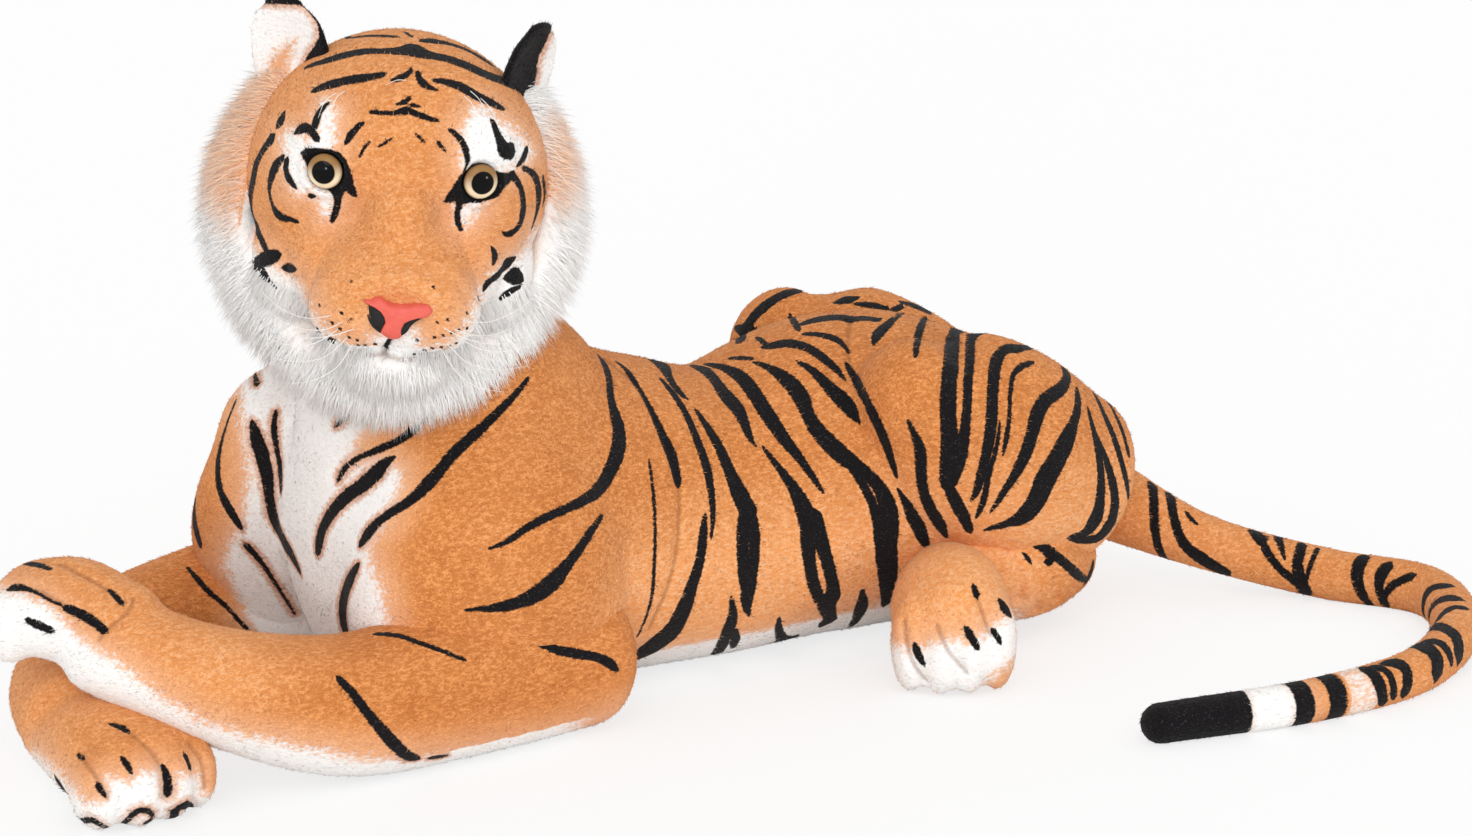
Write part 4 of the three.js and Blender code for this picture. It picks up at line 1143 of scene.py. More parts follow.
EYE_BLACK = strokes("""
300,153 306,148 318,148 329,149 339,152 346,159 350,168 352,176 355,186 358,198 351,196 346,191 342,197 \
341,206 338,216 333,224 329,221 332,212 334,203 333,195 328,190 318,187 311,182 308,175 307,166 304,160
442,203 448,194 454,185 459,176 466,170 476,167 487,168 498,172 511,173 512,180 504,188 498,197 489,200 \
479,203 468,203 463,205 460,212 461,222 464,233 459,231 455,223 454,213 456,206 455,201 449,203
""")
BROW_HAIRS = strokes("""
462,80 478,98 490,120
455,84 472,104 482,128
412,78 398,80 385,85
470,84 490,108 500,132
350,84 338,96 330,112
342,86 326,100 318,118
""")
WHISKER_TRACKS = strokes("""
345,322 322,330 292,326 266,310
340,330 312,344 284,344 258,334
350,338 326,356 300,362 272,358
332,316 306,318 280,308 262,292
355,345 336,368 314,380 292,384
452,330 480,336 508,330 536,312
455,338 484,350 514,350 544,338
445,345 470,364 498,370 528,366
462,322 488,322 514,312 536,296
440,350 458,374 480,388 504,392
360,330 330,336 300,338 270,330
440,328 470,340 500,344 530,336
""")
RUFF_ORANGE = strokes("""
262,66 292,40 296,80 290,110 280,130 266,150 254,175 246,205 240,228 228,212 216,190 206,160 204,125 214,98 \
238,76
540,110 556,84 560,110 564,140 566,168 562,190 552,212 546,200 540,160
""")
EAR_ORANGE = "262,80 266,60 276,47 290,39 298,38 295,55 292,73 289,92 256,92"
EAR_WHITES = {
    "right": "236,3 300,5 312,14 318,26 319,38 313,48 306,58 302,70 290,100 250,100 240,60",
    "left": "552,28 570,30 562,80 548,100 536,116 524,112 530,100 535,84 537,66 540,54 546,42",
}
# Stripes on the sides that the photograph doesn't show, in millimetres with their full width:
# x and y seen from above, then y and z seen from behind.
BACK_STRIPES = strokes("""
-185,5,3 -178,35,6 -172,62,7 -176,90,3
-150,0,3 -140,30,6 -132,62,7 -136,95,4
-112,0,3 -102,32,6 -96,64,7 -100,95,4
-75,5,3 -66,35,6 -62,65,6 -66,90,3
""")
RUMP_STRIPES = strokes("""
14,205,3 36,192,6 60,168,7 76,138,7 80,108,3
14,180,3 32,166,6 50,144,7 60,116,6 62,92,3
24,218,3 60,208,6 88,184,7 104,152,7 108,122,3
40,226,3 76,220,6 104,200,7 124,172,6 130,140,3
""")


# Finishes.
class Nodes:
    """Short calls for the nodes of one tree."""

    def __init__(self, tree):
        self.nodes, self.links = tree.nodes, tree.links

    def node(self, kind, **settings):
        node = self.nodes.new(kind)
        for key, value in settings.items():
            setattr(node, key, value)
        return node

    def feed(self, socket, value):
        if isinstance(value, bpy.types.NodeSocket):
            self.links.new(value, socket)
        elif socket.type == "RGBA":
            socket.default_value = (*value, 1.0)
        else:
            socket.default_value = value

    def maths(self, operation, *values, clamp=False):
        node = self.node("ShaderNodeMath", operation=operation, use_clamp=clamp)
        for socket, value in zip(node.inputs, values):
            self.feed(socket, value)
        return node.outputs[0]

    def add(self, *values):
        return self.maths("ADD", *values)

    def times(self, *values):
        return self.maths("MULTIPLY", *values)

    def mix_shaders(self, share, first, second):
        node = self.node("ShaderNodeMixShader")
        for socket, value in zip(node.inputs, (share, first.outputs[0], second.outputs[0])):
            self.feed(socket, value)
        return node.outputs[0]


class Finish(Nodes):
    """One material and short calls for its pattern."""

    def __init__(self, name, roughness, **settings):
        self.material = bpy.data.materials.get(name) or bpy.data.materials.new(name)
        self.material.use_nodes = True
        super().__init__(self.material.node_tree)
        self.shader = self.nodes["Principled BSDF"]
        self.shader.inputs["Roughness"].default_value = roughness
        for key, value in settings.items():
            self.shader.inputs[key.replace("_", " ")].default_value = value

    def fade(self, value, low, high, to_low=0.0, to_high=1.0):
        node = self.node("ShaderNodeMapRange", interpolation_type="SMOOTHSTEP")
        for socket, entry in zip(node.inputs, (value, low, high, to_low, to_high)):
            self.feed(socket, entry)
        return node.outputs[0]

    def blend(self, share, first, second):
        node = self.node("ShaderNodeMix", data_type="RGBA")
        self.feed(node.inputs["Factor"], share)
        self.feed(node.inputs[6], first)
        self.feed(node.inputs[7], second)
        return node.outputs[2]

    def spot(self):
        return self.node("ShaderNodeTexCoord").outputs["Object"]

    def noise(self, scale, detail=2.0, stretch=(1, 1, 1)):
        mapping, node = self.node("ShaderNodeMapping"), self.node("ShaderNodeTexNoise")
        mapping.inputs["Scale"].default_value = stretch
        self.links.new(self.spot(), mapping.inputs["Vector"])
        self.links.new(mapping.outputs[0], node.inputs["Vector"])
        for key, value in (("Scale", scale), ("Detail", detail), ("Roughness", NOISE_ROUGHNESS)):
            node.inputs[key].default_value = value
        return node.outputs[0]

    def parts(self, name):
        split = self.node("ShaderNodeSeparateXYZ")
        node = self.node("ShaderNodeAttribute", attribute_name=name)
        self.links.new(node.outputs["Vector"], split.inputs[0])
        return split.outputs

    def value(self, name):
        return self.node("ShaderNodeAttribute", attribute_name=name).outputs["Fac"]

    def centred(self, value, reach):
        return self.times(self.maths("SUBTRACT", value, 0.5), reach)

    def inside(self, distance, width):
        """How far a place lies outside a line of a half width, negative on the line."""
        return self.maths("SUBTRACT", self.maths("ABSOLUTE", distance), width)

    def relief(self, height, distance, strength=1.0):
        node = self.node("ShaderNodeBump")
        node.inputs["Distance"].default_value = distance
        node.inputs["Strength"].default_value = strength
        self.links.new(height, node.inputs["Height"])
        self.links.new(node.outputs[0], self.shader.inputs["Normal"])

    def paint(self, colour):
        self.links.new(colour, self.shader.inputs["Base Color"])


NOISE_ROUGHNESS = 0.55
# A brown line of painted shade along the seams' creases.
SEAM_SHADE_BROWN = (0.22, 0.08, 0.03)
PUPIL, EYE_RIM = (0.0006, 0.0006, 0.0006), (0.006, 0.005, 0.005)
# The first of these, the iris's lit cream, is painted light at the bottom of the iris.
IRIS_LIT_CREAM, IRIS_RING, IRIS_EDGE = (0.88, 0.76, 0.54), (0.30, 0.14, 0.04), (0.20, 0.09, 0.03)
NOSE_DARK, NOSTRIL_DARK = (0.60, 0.07, 0.05), (0.003, 0.002, 0.002)


def printed_plush():
    """Short pile, orange or white, with printed black stripes whose edges the pile blurs."""
    if "printed_plush" in bpy.data.materials:
        return bpy.data.materials["printed_plush"]
    tint = colours()
    f = Finish("printed_plush", 0.92, Sheen_Weight=0.06, Sheen_Roughness=0.5, Specular_IOR_Level=0.12)
    grain = f.noise(900, 2, (0.6, 1, 1))
    tuft = f.noise(400, 3, (0.5, 1, 1))
    lay = f.noise(60, 3, (0.6, 1, 1))
    cloud = f.noise(16, 2)
    # Stripes: black where a place lies on a stroke of any of the three layers.
    layers = [f.parts(name) for name in PRINT_NAMES]
    gaps = [f.inside(layer[0], layer[1]) for layer in layers]
    ink = f.maths("MINIMUM", f.maths("MINIMUM", gaps[0], gaps[1]), gaps[2])
    ragged = f.add(f.centred(grain, 0.0016), f.centred(tuft, 0.0024))
    inked = f.fade(f.add(ink, ragged), -0.0006, 0.0008, 1.0, 0.0)
    # White patches: airbrushed, with an orange fringe and an orange ring round their stripes.
    edge = f.add(layers[0][2], f.add(f.centred(cloud, 0.006), f.centred(tuft, 0.030)))
    whitened = f.fade(edge, -0.004, 0.0085, 1.0, 0.0)
    fringe = f.fade(edge, 0.0, 0.045, 0.85, 0.0)
    tone = f.value("tone")
    ring = f.fade(f.add(ink, f.centred(tuft, 0.008)), 0.0005, 0.0065, 0.75, 0.0)
    ring = f.times(ring, f.times(whitened, f.fade(tone, 0.2, 0.5, 1.0, 0.0)))
    # Pile: its lit tips and its shade, each paler where the tone says so.
    shade = f.add(f.times(tuft, 0.50), f.times(grain, 0.42))
    shade = f.add(f.add(shade, f.times(lay, 0.10)), f.times(f.value("along"), 0.18))
    lit = f.fade(shade, 0.43, 0.66)
    pallor = f.maths("ADD", f.maths("MAXIMUM", tone, fringe), f.centred(cloud, 0.5), clamp=True)
    deep = f.blend(pallor, tint.deep_orange, tint.orange)
    high = f.blend(pallor, tint.orange, tint.peach)
    orange = f.blend(f.fade(edge, 0.0, 0.03, 0.15, 0.0), f.blend(lit, deep, high), tint.cream)
    pale = f.blend(f.fade(shade, 0.25, 0.62), tint.cream, tint.white)
    base = f.blend(whitened, orange, pale)
    base = f.blend(ring, base, f.blend(lit, tint.deep_orange, tint.orange))
    # Seams: a brown line of painted shade where the plush is pulled into a crease.
    seam = f.inside(layers[1][2], layers[2][2])
    seam_shade = f.fade(f.add(seam, f.centred(tuft, 0.001)), 0.0, 0.0026, 0.42, 0.0)
    base = f.blend(seam_shade, base, SEAM_SHADE_BROWN)
    speck = f.fade(grain, 0.58, 0.78, 0.0, 0.07)
    f.paint(f.blend(inked, base, f.blend(speck, tint.black, tint.cream)))
    f.relief(f.add(f.times(tuft, 0.65), f.times(grain, 0.35)), 0.0024, 0.75)
    return f.material


def long_fur():
    """Long ruff fur, white to cream, warming to orange where the tone says so, with a faint painted glow."""
    if "long_fur" in bpy.data.materials:
        return bpy.data.materials["long_fur"]
    tint = colours()
    # A faint white glow: painted light that lifts the self-shadowed locks.
    painted_glow = {"Emission_Strength": 0.13}
    f = Finish("long_fur", 0.7, Sheen_Weight=0.1, Sheen_Roughness=0.4, Specular_IOR_Level=0.2, **painted_glow)
    tone, along, own = f.parts("strand")
    pale = f.blend(f.fade(own, 0.0, 0.6), tint.cream, tint.white)
    warm = f.blend(f.fade(own, 0.1, 0.8), tint.orange, tint.peach)
    warm = f.blend(f.fade(along, 0.45, 1.0, 0.0, 0.4), warm, tint.white)
    f.paint(f.blend(tone, pale, warm))
    f.relief(f.noise(700, 2), 0.0004, 0.2)
    return f.material


def eye_glass():
    """Clear dome over a painted iris: the radius runs from the middle to the rim."""
    f = Finish("eye_glass", 0.04, Specular_IOR_Level=0.14)
    radius, height, _ = f.parts("iris")
    ring = f.add(radius, f.centred(f.noise(900, 3), 0.08))
    # Painted shade and light: the iris is amber at the top, in a painted shadow of the lid, and pales to a
    # painted lit cream at the bottom.
    iris = f.blend(f.fade(height, -0.55, 0.55, 1.0, 0.0), colours().amber, IRIS_LIT_CREAM)
    iris = f.blend(f.fade(ring, 0.60, 0.72, 0.5, 0.0), iris, IRIS_RING)
    iris = f.blend(f.fade(ring, 0.84, 0.95, 0.0, 0.6), iris, IRIS_EDGE)
    dark = f.blend(f.fade(radius, 0.61, 0.66), PUPIL, iris)
    f.paint(f.blend(f.fade(radius, 0.93, 0.98), dark, EYE_RIM))
    f.relief(f.noise(400, 2), 0.00005, 0.2)
    return f.material


def rose_vinyl():
    """Moulded nose with a fine leather grain, dark in the nostrils."""
    f = Finish("rose_vinyl", 0.42, Specular_IOR_Level=0.35)
    mottled = f.blend(f.fade(f.noise(160, 3), 0.35, 0.7, 0.0, 0.35), colours().rose, NOSE_DARK)
    f.paint(f.blend(f.fade(f.value("hollow"), 0.35, 0.6), mottled, NOSTRIL_DARK))
    cells = f.node("ShaderNodeTexVoronoi", feature="DISTANCE_TO_EDGE")
    cells.inputs["Scale"].default_value = 700
    f.links.new(f.spot(), cells.inputs["Vector"])
    f.relief(cells.outputs["Distance"], 0.0003, 0.5)
    return f.material


def clear_washer():
    f = Finish("clear_washer", 0.3, Transmission_Weight=0.5, IOR=1.5)
    f.paint(f.blend(f.noise(300, 2), (0.80, 0.79, 0.75), (0.88, 0.87, 0.84)))
    f.relief(f.noise(900, 1), 0.0002, 0.3)
    return f.material


def whisker_nylon():
    f = Finish("whisker_nylon", 0.35, Specular_IOR_Level=0.5)
    f.paint(f.blend(f.noise(500, 1), (0.80, 0.77, 0.72), (0.93, 0.92, 0.90)))
    return f.material


# Pile and fur: locks are thin closed spikes rooted on a skin.
SPIKE_TAPER = 0.75
PILE_ROOT_DEPTH, PILE_DROOP = 0.0008, -0.15
PILE_SWIRL, FUR_DROOP_SWIRL = 0.35, 0.08
FUR_DROOP = (0.0, 0.0, -0.3)


def rooted(printed, count, rng, where=None):
    """Random places on a skin by area, with normals and the weights of their corners."""
    mesh = printed.obj.data
    mesh.calc_loop_triangles()
    corners = np.empty(len(mesh.loop_triangles) * 3, np.int32)
    mesh.loop_triangles.foreach_get("vertices", corners)
    corners = corners.reshape(-1, 3)
    a, b, c = (printed.places[corners[:, i]] for i in range(3))
    area = np.linalg.norm(np.cross(b - a, c - a), axis=1)
    if where is not None:
        area = area * where[corners].mean(1)
    pick = rng.choice(len(corners), count, p=area / area.sum())
    u, v = rng.random(count), rng.random(count)
    over = u + v > 1
    u[over], v[over] = 1 - u[over], 1 - v[over]
    weights = np.stack([1 - u - v, u, v], 1)
    corners = corners[pick]

    def spread(values):
        share = weights.reshape(weights.shape + (1,) * (values.ndim - 1))
        return (values[corners] * share).sum(1)

    return spread(printed.places), unit(spread(printed.normals)), spread


def spikes(roots, heads, lifts, lengths, thickness, droops, rings):
    """Places, faces and the share along of curved spikes with three sides."""
    count = len(roots)
    side = unit(np.cross(heads, lifts + 1e-6))
    rise = np.cross(heads, side)
    rows, along = [], []
    for ring in range(rings):
        share = ring / rings
        bend = droops * (share**2 * lengths)[:, None]
        centre = roots + heads * (share * lengths)[:, None] + bend
        girth = thickness / 2 * (1 - SPIKE_TAPER * share)
        for k in range(3):
            angle = 2 * math.pi * k / 3
            rows.append(centre + (side * math.cos(angle) + rise * math.sin(angle)) * girth)
            along.append(np.full(count, share))
    rows.append(roots + heads * lengths[:, None] + droops * lengths[:, None])
    along.append(np.ones(count))
    each = 3 * rings + 1
    places = np.stack(rows, 1).reshape(-1, 3)
    along = np.stack(along, 1).ravel()
    faces = [(2, 1, 0)]
    for ring in range(rings - 1):
        for k in range(3):
            a, b = ring * 3 + k, ring * 3 + (k + 1) % 3
            faces += [(a, b, b + 3), (a, b + 3, a + 3)]
    tip, last = each - 1, (rings - 1) * 3
    faces += [(last + k, last + (k + 1) % 3, tip) for k in range(3)]
    starts = (np.arange(count) * each)[:, None, None]
    return places, (np.array(faces)[None] + starts).reshape(-1, 3), along, each


def add_triangles(name, places, triangles):
    mesh = bpy.data.meshes.new(name)
    mesh.vertices.add(len(places))
    mesh.vertices.foreach_set("co", places.astype(np.float32).ravel())
    mesh.loops.add(triangles.size)
    mesh.loops.foreach_set("vertex_index", triangles.astype(np.int32).ravel())
    mesh.polygons.add(len(triangles))
    mesh.polygons.foreach_set("loop_start", np.arange(0, triangles.size, 3, dtype=np.int32))
    mesh.update(calc_edges=True)
    mesh.validate()
    mesh.shade_smooth()
    return linked(name, mesh)


def short_pile(printed, name, flow, limit):
    """The plush's own pile, standing a little proud of a skin and leaning along the flow."""
    rng = np.random.default_rng(piles().seed)
    area = sum(polygon.area for polygon in printed.obj.data.polygons)
    count = int(min(limit, area / sizes().pile_spacing**2))
    roots, normals, spread = rooted(printed, count, rng)
    flows = flow(roots) + rng.normal(0, PILE_SWIRL, (count, 3))
    flows = unit(flows - normals * (flows * normals).sum(1)[:, None])
    heads = unit(normals * rng.uniform(0.35, 0.75, count)[:, None] + flows)
    lengths = sizes().pile_length * rng.uniform(0.55, 1.1, count)
    girth = (sizes().pile_thickness * rng.uniform(0.7, 1.2, count))[:, None]
    roots = roots - normals * PILE_ROOT_DEPTH
    places, faces, along, each = spikes(roots, heads, flows, lengths, girth, normals * PILE_DROOP, 1)
    pile = add_triangles(name, above_floor(places), faces)
    for key, values in printed.fields():
        store(pile, key, np.repeat(np.stack([spread(value) for value in values], 1), each, 0))
    store(pile, "along", along)
    store(pile, "tone", np.repeat(spread(printed.tone), each))
    pile.data.materials.append(printed_plush())
    return pile


def long_piece(name, roots, normals, heads, length, warm, rng):
    """A piece of long fur that rides on the head."""
    count = len(roots)
    lengths = length * rng.uniform(0.5, 1.15, count)
    girth = (sizes().ruff_thickness * rng.uniform(0.7, 1.2, count))[:, None]
    droop = np.tile(FUR_DROOP, (count, 1)) + rng.normal(0, FUR_DROOP_SWIRL, roots.shape)
    places, faces, along, each = spikes(roots, heads, normals, lengths, girth, droop, 2)
    fur = add_triangles(name, places, faces)
    own = np.repeat(rng.random(count), each)
    store(fur, "strand", np.stack([np.repeat(warm, each), along, own], 1))
    fur.data.normals_split_custom_set_from_vertices(np.repeat(normals, each, axis=0).tolist())
    fur.data.materials.append(long_fur())
    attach(fur, "head")


# Pieces.
UPRIGHT = np.array((0.0, 0.0, 1.0))
# The most tufts of short pile on a skin, and the rounds that draw its forms into each other.
TUFTS = {"body": 44000, "hind_leg": 16000, "foreleg": 26000, "tail": 7000, "head": 30000, "ear": 4000}
ROUNDS = {"body": 12, "hind_leg": 22, "foreleg": 20, "head": 12}
# How wide the painted shade along a crease is, as a share of the crease's width.
SEAM_SHADE_SHARE = 0.5


def steady(direction):
    """A lie of the pile that is the same all over a skin."""
    return lambda places: np.tile(np.array(direction, float), (len(places), 1))


TOWARDS_TAIL, ALONG_LEG = steady((1.0, 0.0, -0.35)), steady((-1.0, 0.0, -0.3))


def finish_skin(printed, nodes, slot="orange_plush", fill=0.85):
    printed.write()
    printed.obj.data.materials.append(printed_plush())
    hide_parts(*nodes)


def dressed(printed, nodes, flow, limit, pile_slot="orange_plush", **settings):
    """Finishes a printed skin, grows its pile, and gives back both for their bodies."""
    finish_skin(printed, nodes, **settings)
    name = printed.obj.name.replace("_skin", "_pile")
    return printed.obj, short_pile(printed, name, flow, limit)


def crease(printed, path, depth, width=CREASE_WIDTH):
    """Draws a sewn or stuffed crease into a skin, with a line of painted shade along it."""
    printed.press(path, depth, width)
    printed.stitch((path[0], path[1], path[2] * SEAM_SHADE_SHARE))


SWELL_MESH, SWELL_STEPS, SWELL_PRESSURE = 0.0065, 14, 4
# How far round a seam and above the floor the cloth is held.
SEAM_HOLD, FLOOR_HOLD = 0.010, 0.004


def swell(printed, seams):
    """Swells a stuffed skin between its seams with a short cloth simulation, within a limit."""
    scene = bpy.context.scene
    puffed = remeshed(linked("puffed", printed.obj.data.copy()), SWELL_MESH)
    before = places_of(puffed)
    held = puffed.vertex_groups.new(name="held")
    gap = np.full(len(before), 1.0)
    for stop in np.vstack([path[0] for path in seams])[::2]:
        gap = np.minimum(gap, np.linalg.norm(before - stop, axis=1))
    grip = np.maximum(np.clip(1.6 - gap / SEAM_HOLD, 0, 1), np.clip(1.5 - before[:, 2] / FLOOR_HOLD, 0, 1))
    for index in np.flatnonzero(grip > 0.02):
        held.add([int(index)], float(grip[index]), "REPLACE")
    cloth = puffed.modifiers.new("stuffing", "CLOTH").settings
    cloth.quality = 4
    cloth.use_pressure = True
    cloth.uniform_pressure_force = SWELL_PRESSURE
    cloth.effector_weights.gravity = 0
    cloth.vertex_group_mass = "held"
    for step in range(1, SWELL_STEPS + 1):
        scene.frame_set(step)
    moves = places_of(puffed.evaluated_get(bpy.context.evaluated_depsgraph_get())) - before
    reach = np.linalg.norm(moves, axis=1, keepdims=True)
    moves *= np.minimum(1, sizes().swell / np.maximum(reach, 1e-9))
    finder = KDTree(len(before))
    for index, place in enumerate(before):
        finder.insert(place, index)
    finder.balance()
    for index, place in enumerate(printed.places):
        found = finder.find_n(place, 4)
        weight = np.array([1 / (distance + 1e-4) for _, _, distance in found])
        picked = moves[[entry for _, entry, _ in found]]
        printed.places[index] = place + (picked * weight[:, None]).sum(0) / weight.sum()
    bpy.data.objects.remove(puffed)
    scene.frame_set(1)
    above_floor(printed.places)
    printed.keep_shape()
    printed.grow_tree()


BUST_END, BUST_FADE, BUST_FULLNESS, BUST_ROUNDS = -0.14, 0.1, 0.003, 70
FAR_SIDE_SHIFT = (0.006, 0, 0.003)
BODY_NODES = ("torso", "neck", "shoulder_left", "shoulder_right", "haunch_left", "haunch_right")


class AddBody(bpy.types.Operator):
    """Body: trunk, neck, shoulders and haunches under one printed skin, drawn in along its seams"""

    bl_idname = "tiger.add_body"
    bl_label = "Body"

    def execute(self, context):
        forms = [trunk_form(), neck_form(), shoulder_form("left"), shoulder_form("right")]
        forms += [haunch_form(-1), haunch_form(1)]
        skin = one_skin("body_skin", forms, sizes().body_mesh, ROUNDS["body"])
        front = np.clip((BUST_END - places_of(skin)[:, 0]) / BUST_FADE, 0, 1)
        relax(skin, BUST_ROUNDS, 0.5 * front)
        settle(skin)
        printed = Print(skin)
        printed.places += printed.normals * (BUST_FULLNESS * front)[:, None]
        printed.keep_shape()
        seams = [printed.cast(stroke) for stroke in TRUNK_SEAMS]
        seams += [printed.mirrored(path) for path in seams]
        swell(printed, seams)
        for path in seams:
            crease(printed, path, sizes().seam_depth)
        printed.keep_shape()
        for stroke in TRUNK_STRIPES + HAUNCH_STRIPES:
            path = printed.cast(stroke, strict=True)
            if path is not None:
                printed.ink(path)
                printed.ink(printed.mirrored(path, FAR_SIDE_SHIFT), hidden=True)
        printed.ink_all(FAR_HIP_STRIPES + FAR_SHOULDER_STRIPES + SHOULDER_STRIPES, strict=True)
        for stroke in SHOULDER_STRIPES[:3]:
            printed.ink(printed.mirrored(printed.cast(stroke)), hidden=True)
        for stroke in BACK_STRIPES:
            printed.ink(printed.lay(stroke, "above"), hidden=True)
        for flip in (1, -1):
            for stroke in RUMP_STRIPES:
                printed.ink(printed.lay(stroke, "behind", flip), hidden=True)
        printed.whiten(CHEST_WHITE)
        printed.whiten(BELLY_WHITE)
        printed.whiten(BELLY_WHITE, mirrored=True)
        x, _, z = printed.places.T
        # The underside is white up to the haunches, and the lower flanks are paler behind the elbow.
        under = (printed.normals[:, 2] + 0.5) * 0.04 + np.clip(1.5 * (z - 0.03), 0, 0.05)
        printed.white = np.where(x < 0.2, np.minimum(printed.white, under), printed.white)
        behind_elbow = np.clip((x + 0.20) / 0.05, 0, 1)
        printed.tone = np.clip((0.18 - z) / 0.08, 0, 1) * behind_elbow + 0.10
        for piece in dressed(printed, BODY_NODES, TOWARDS_TAIL, TUFTS["body"], fill=0.9):
            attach(piece, "root")
        return {"FINISHED"}


WRINKLE_DEPTH, WRINKLE_WIDTH = 0.0045, 0.0055
LEAST_HALF_WIDTH = 0.0004


class AddHindLegs(bpy.types.Operator):
    """Hind legs: shanks on the floor and feet turned out, with stitched toes and creased hocks"""

    bl_idname = "tiger.add_hind_legs"
    bl_label = "Hind legs"

    def execute(self, context):
        for name, side in BODY_SIDES.items():
            forms = [shank_form(side)] + paw_forms(HIND_PAW_SIZE, hind_paw_matrix(side))
            skin = one_skin(f"hind_leg_{name}_skin", forms, sizes().limb_mesh, ROUNDS["hind_leg"])
            settle(skin)
            printed = Print(skin)
            if side < 0:
                self.left_tree = printed.tree
            wrinkles = [self.side_path(printed, stroke, side) for stroke in HIND_WRINKLES]
            swell(printed, wrinkles)
            for path in wrinkles:
                printed.press(path, WRINKLE_DEPTH, WRINKLE_WIDTH)
            for stroke in HIND_PAW_CREASES:
                crease(printed, self.side_path(printed, stroke, side), sizes().toe_crease_depth)
            printed.keep_shape()
            for stroke in HIND_PAW_STRIPES:
                printed.ink(self.side_path(printed, stroke, side))
            printed.whiten(HIND_PAW_WHITE, mirrored=side > 0)
            printed.tone = np.clip((0.26 - printed.places[:, 0]) / 0.06, 0.3, 1.0)
            nodes = (f"hind_shank_{name}", f"hind_paw_{name}")
            for piece in dressed(printed, nodes, ALONG_LEG, TUFTS["hind_leg"]):
                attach(piece, "root")
        return {"FINISHED"}

    def side_path(self, printed, stroke, side):
        """A stroke as the camera sees it on the left leg, or its mirror image on the right one."""
        if side < 0:
            return printed.cast(stroke)
        stops = stroke_stops(stroke)
        steps = smooth_line(stops, np.linspace(0, 1, 4 * len(stops)))
        left, places = self.left_tree, []
        for x, y, _ in steps:
            aim = pixel_direction(x, y)
            place = left.ray_cast(Vector(camera_eye), Vector(aim))[0]
            if place is None:
                place = left.find_nearest(Vector(camera_eye + aim * CAMERA_REACH))[0]
            places.append((place[0], -place[1], place[2]))
        half = np.maximum(steps[:, 2] / 2 * CAMERA_REACH / FOCAL_PIXELS, LEAST_HALF_WIDTH)
        return (*nearest_on(printed.tree, places), half)


# For each foreleg: stripes, white, creases, its paw's share of the full size, and the paw's shift.
FORELEG_PLANS = {
    "right": (RIGHT_FORELEG_STRIPES, RIGHT_FOREPAW_WHITE, RIGHT_FOREPAW_CREASES, 1.0, (0, 0, 0)),
    "left": (LEFT_FORELEG_STRIPES, LEFT_FORELEG_WHITE, LEFT_FOREPAW_CREASES, 0.88, (0.008, -0.005, 0.006)),
}


class AddForelegs(bpy.types.Operator):
    """Forelegs: crossed at the wrists, each with its paw under one printed skin"""

    bl_idname = "tiger.add_forelegs"
    bl_label = "Forelegs"

    def execute(self, context):
        for name, (stripes, white, creases, share, shift) in FORELEG_PLANS.items():
            matrix = Matrix.Translation(shift) @ forepaw_matrix(name)
            forms = [foreleg_form(name)] + paw_forms(np.array(FOREPAW_SIZE) * share, matrix)
            skin = one_skin(f"foreleg_{name}_skin", forms, sizes().limb_mesh, ROUNDS["foreleg"])
            settle(skin)
            printed = Print(skin)
            paths = [printed.cast(stroke) for stroke in creases]
            swell(printed, paths)
            for path in paths:
                crease(printed, path, sizes().toe_crease_depth)
            printed.keep_shape()
            printed.ink_all(stripes)
            printed.whiten(white)
            # The underside is white at the paw, and its edge narrows towards the elbow.
            under = printed.normals[:, 2] < -0.6
            fading = np.clip((pixels_of(printed.places)[:, 0] - 570) * 0.0003, -0.01, 0.02)
            printed.white[under] = np.minimum(printed.white, fading)[under]
            paw = np.linalg.norm(printed.places - np.array(matrix)[:3, 3], axis=1)
            printed.tone = np.clip((0.16 - paw) / 0.12, 0.05, 0.6)
            nodes = (f"foreleg_{name}", f"forepaw_{name}")
            for piece in dressed(printed, nodes, ALONG_LEG, TUFTS["foreleg"]):
                if name == "right":
                    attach(piece, "root")
                else:
                    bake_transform(piece)
        return {"FINISHED"}


TAIL_STOPS = (0.0, 1.45, 3.7, 7.0)
# Each length's name, its node, and where it bends: the bodies before and after, and the tail's station.
TAIL_LENGTHS = (
    ("tail_base", "tail_root", None),
    ("tail_curl", "tail_middle", ("tail_root", "tail_middle", 2)),
    ("tail_end", "tail_tip", ("tail_middle", "tail_tip", 5)),
)
TAIL_JOIN_CAP, TAIL_BEND_REACH, TAIL_BEND_STEP = 0.002, 0.03, 0.1
# The lower arm lies below this row of the photograph. A ring is printed this much narrower than drawn.
TAIL_LOW_ARM, RING_SHARE = 655, 0.95
# Along the tail's last length: where black, white, black, orange, black and peach end, in pixels.
TAIL_ZONES = (1243, 1285, 1303, 1317, 1334, 1364)
# The white band runs this many pixels under the black, and the peach is this far from white.
WHITE_OVERLAP, PEACH_EDGE = 4, 0.0022
TAIL_RINGS = 90


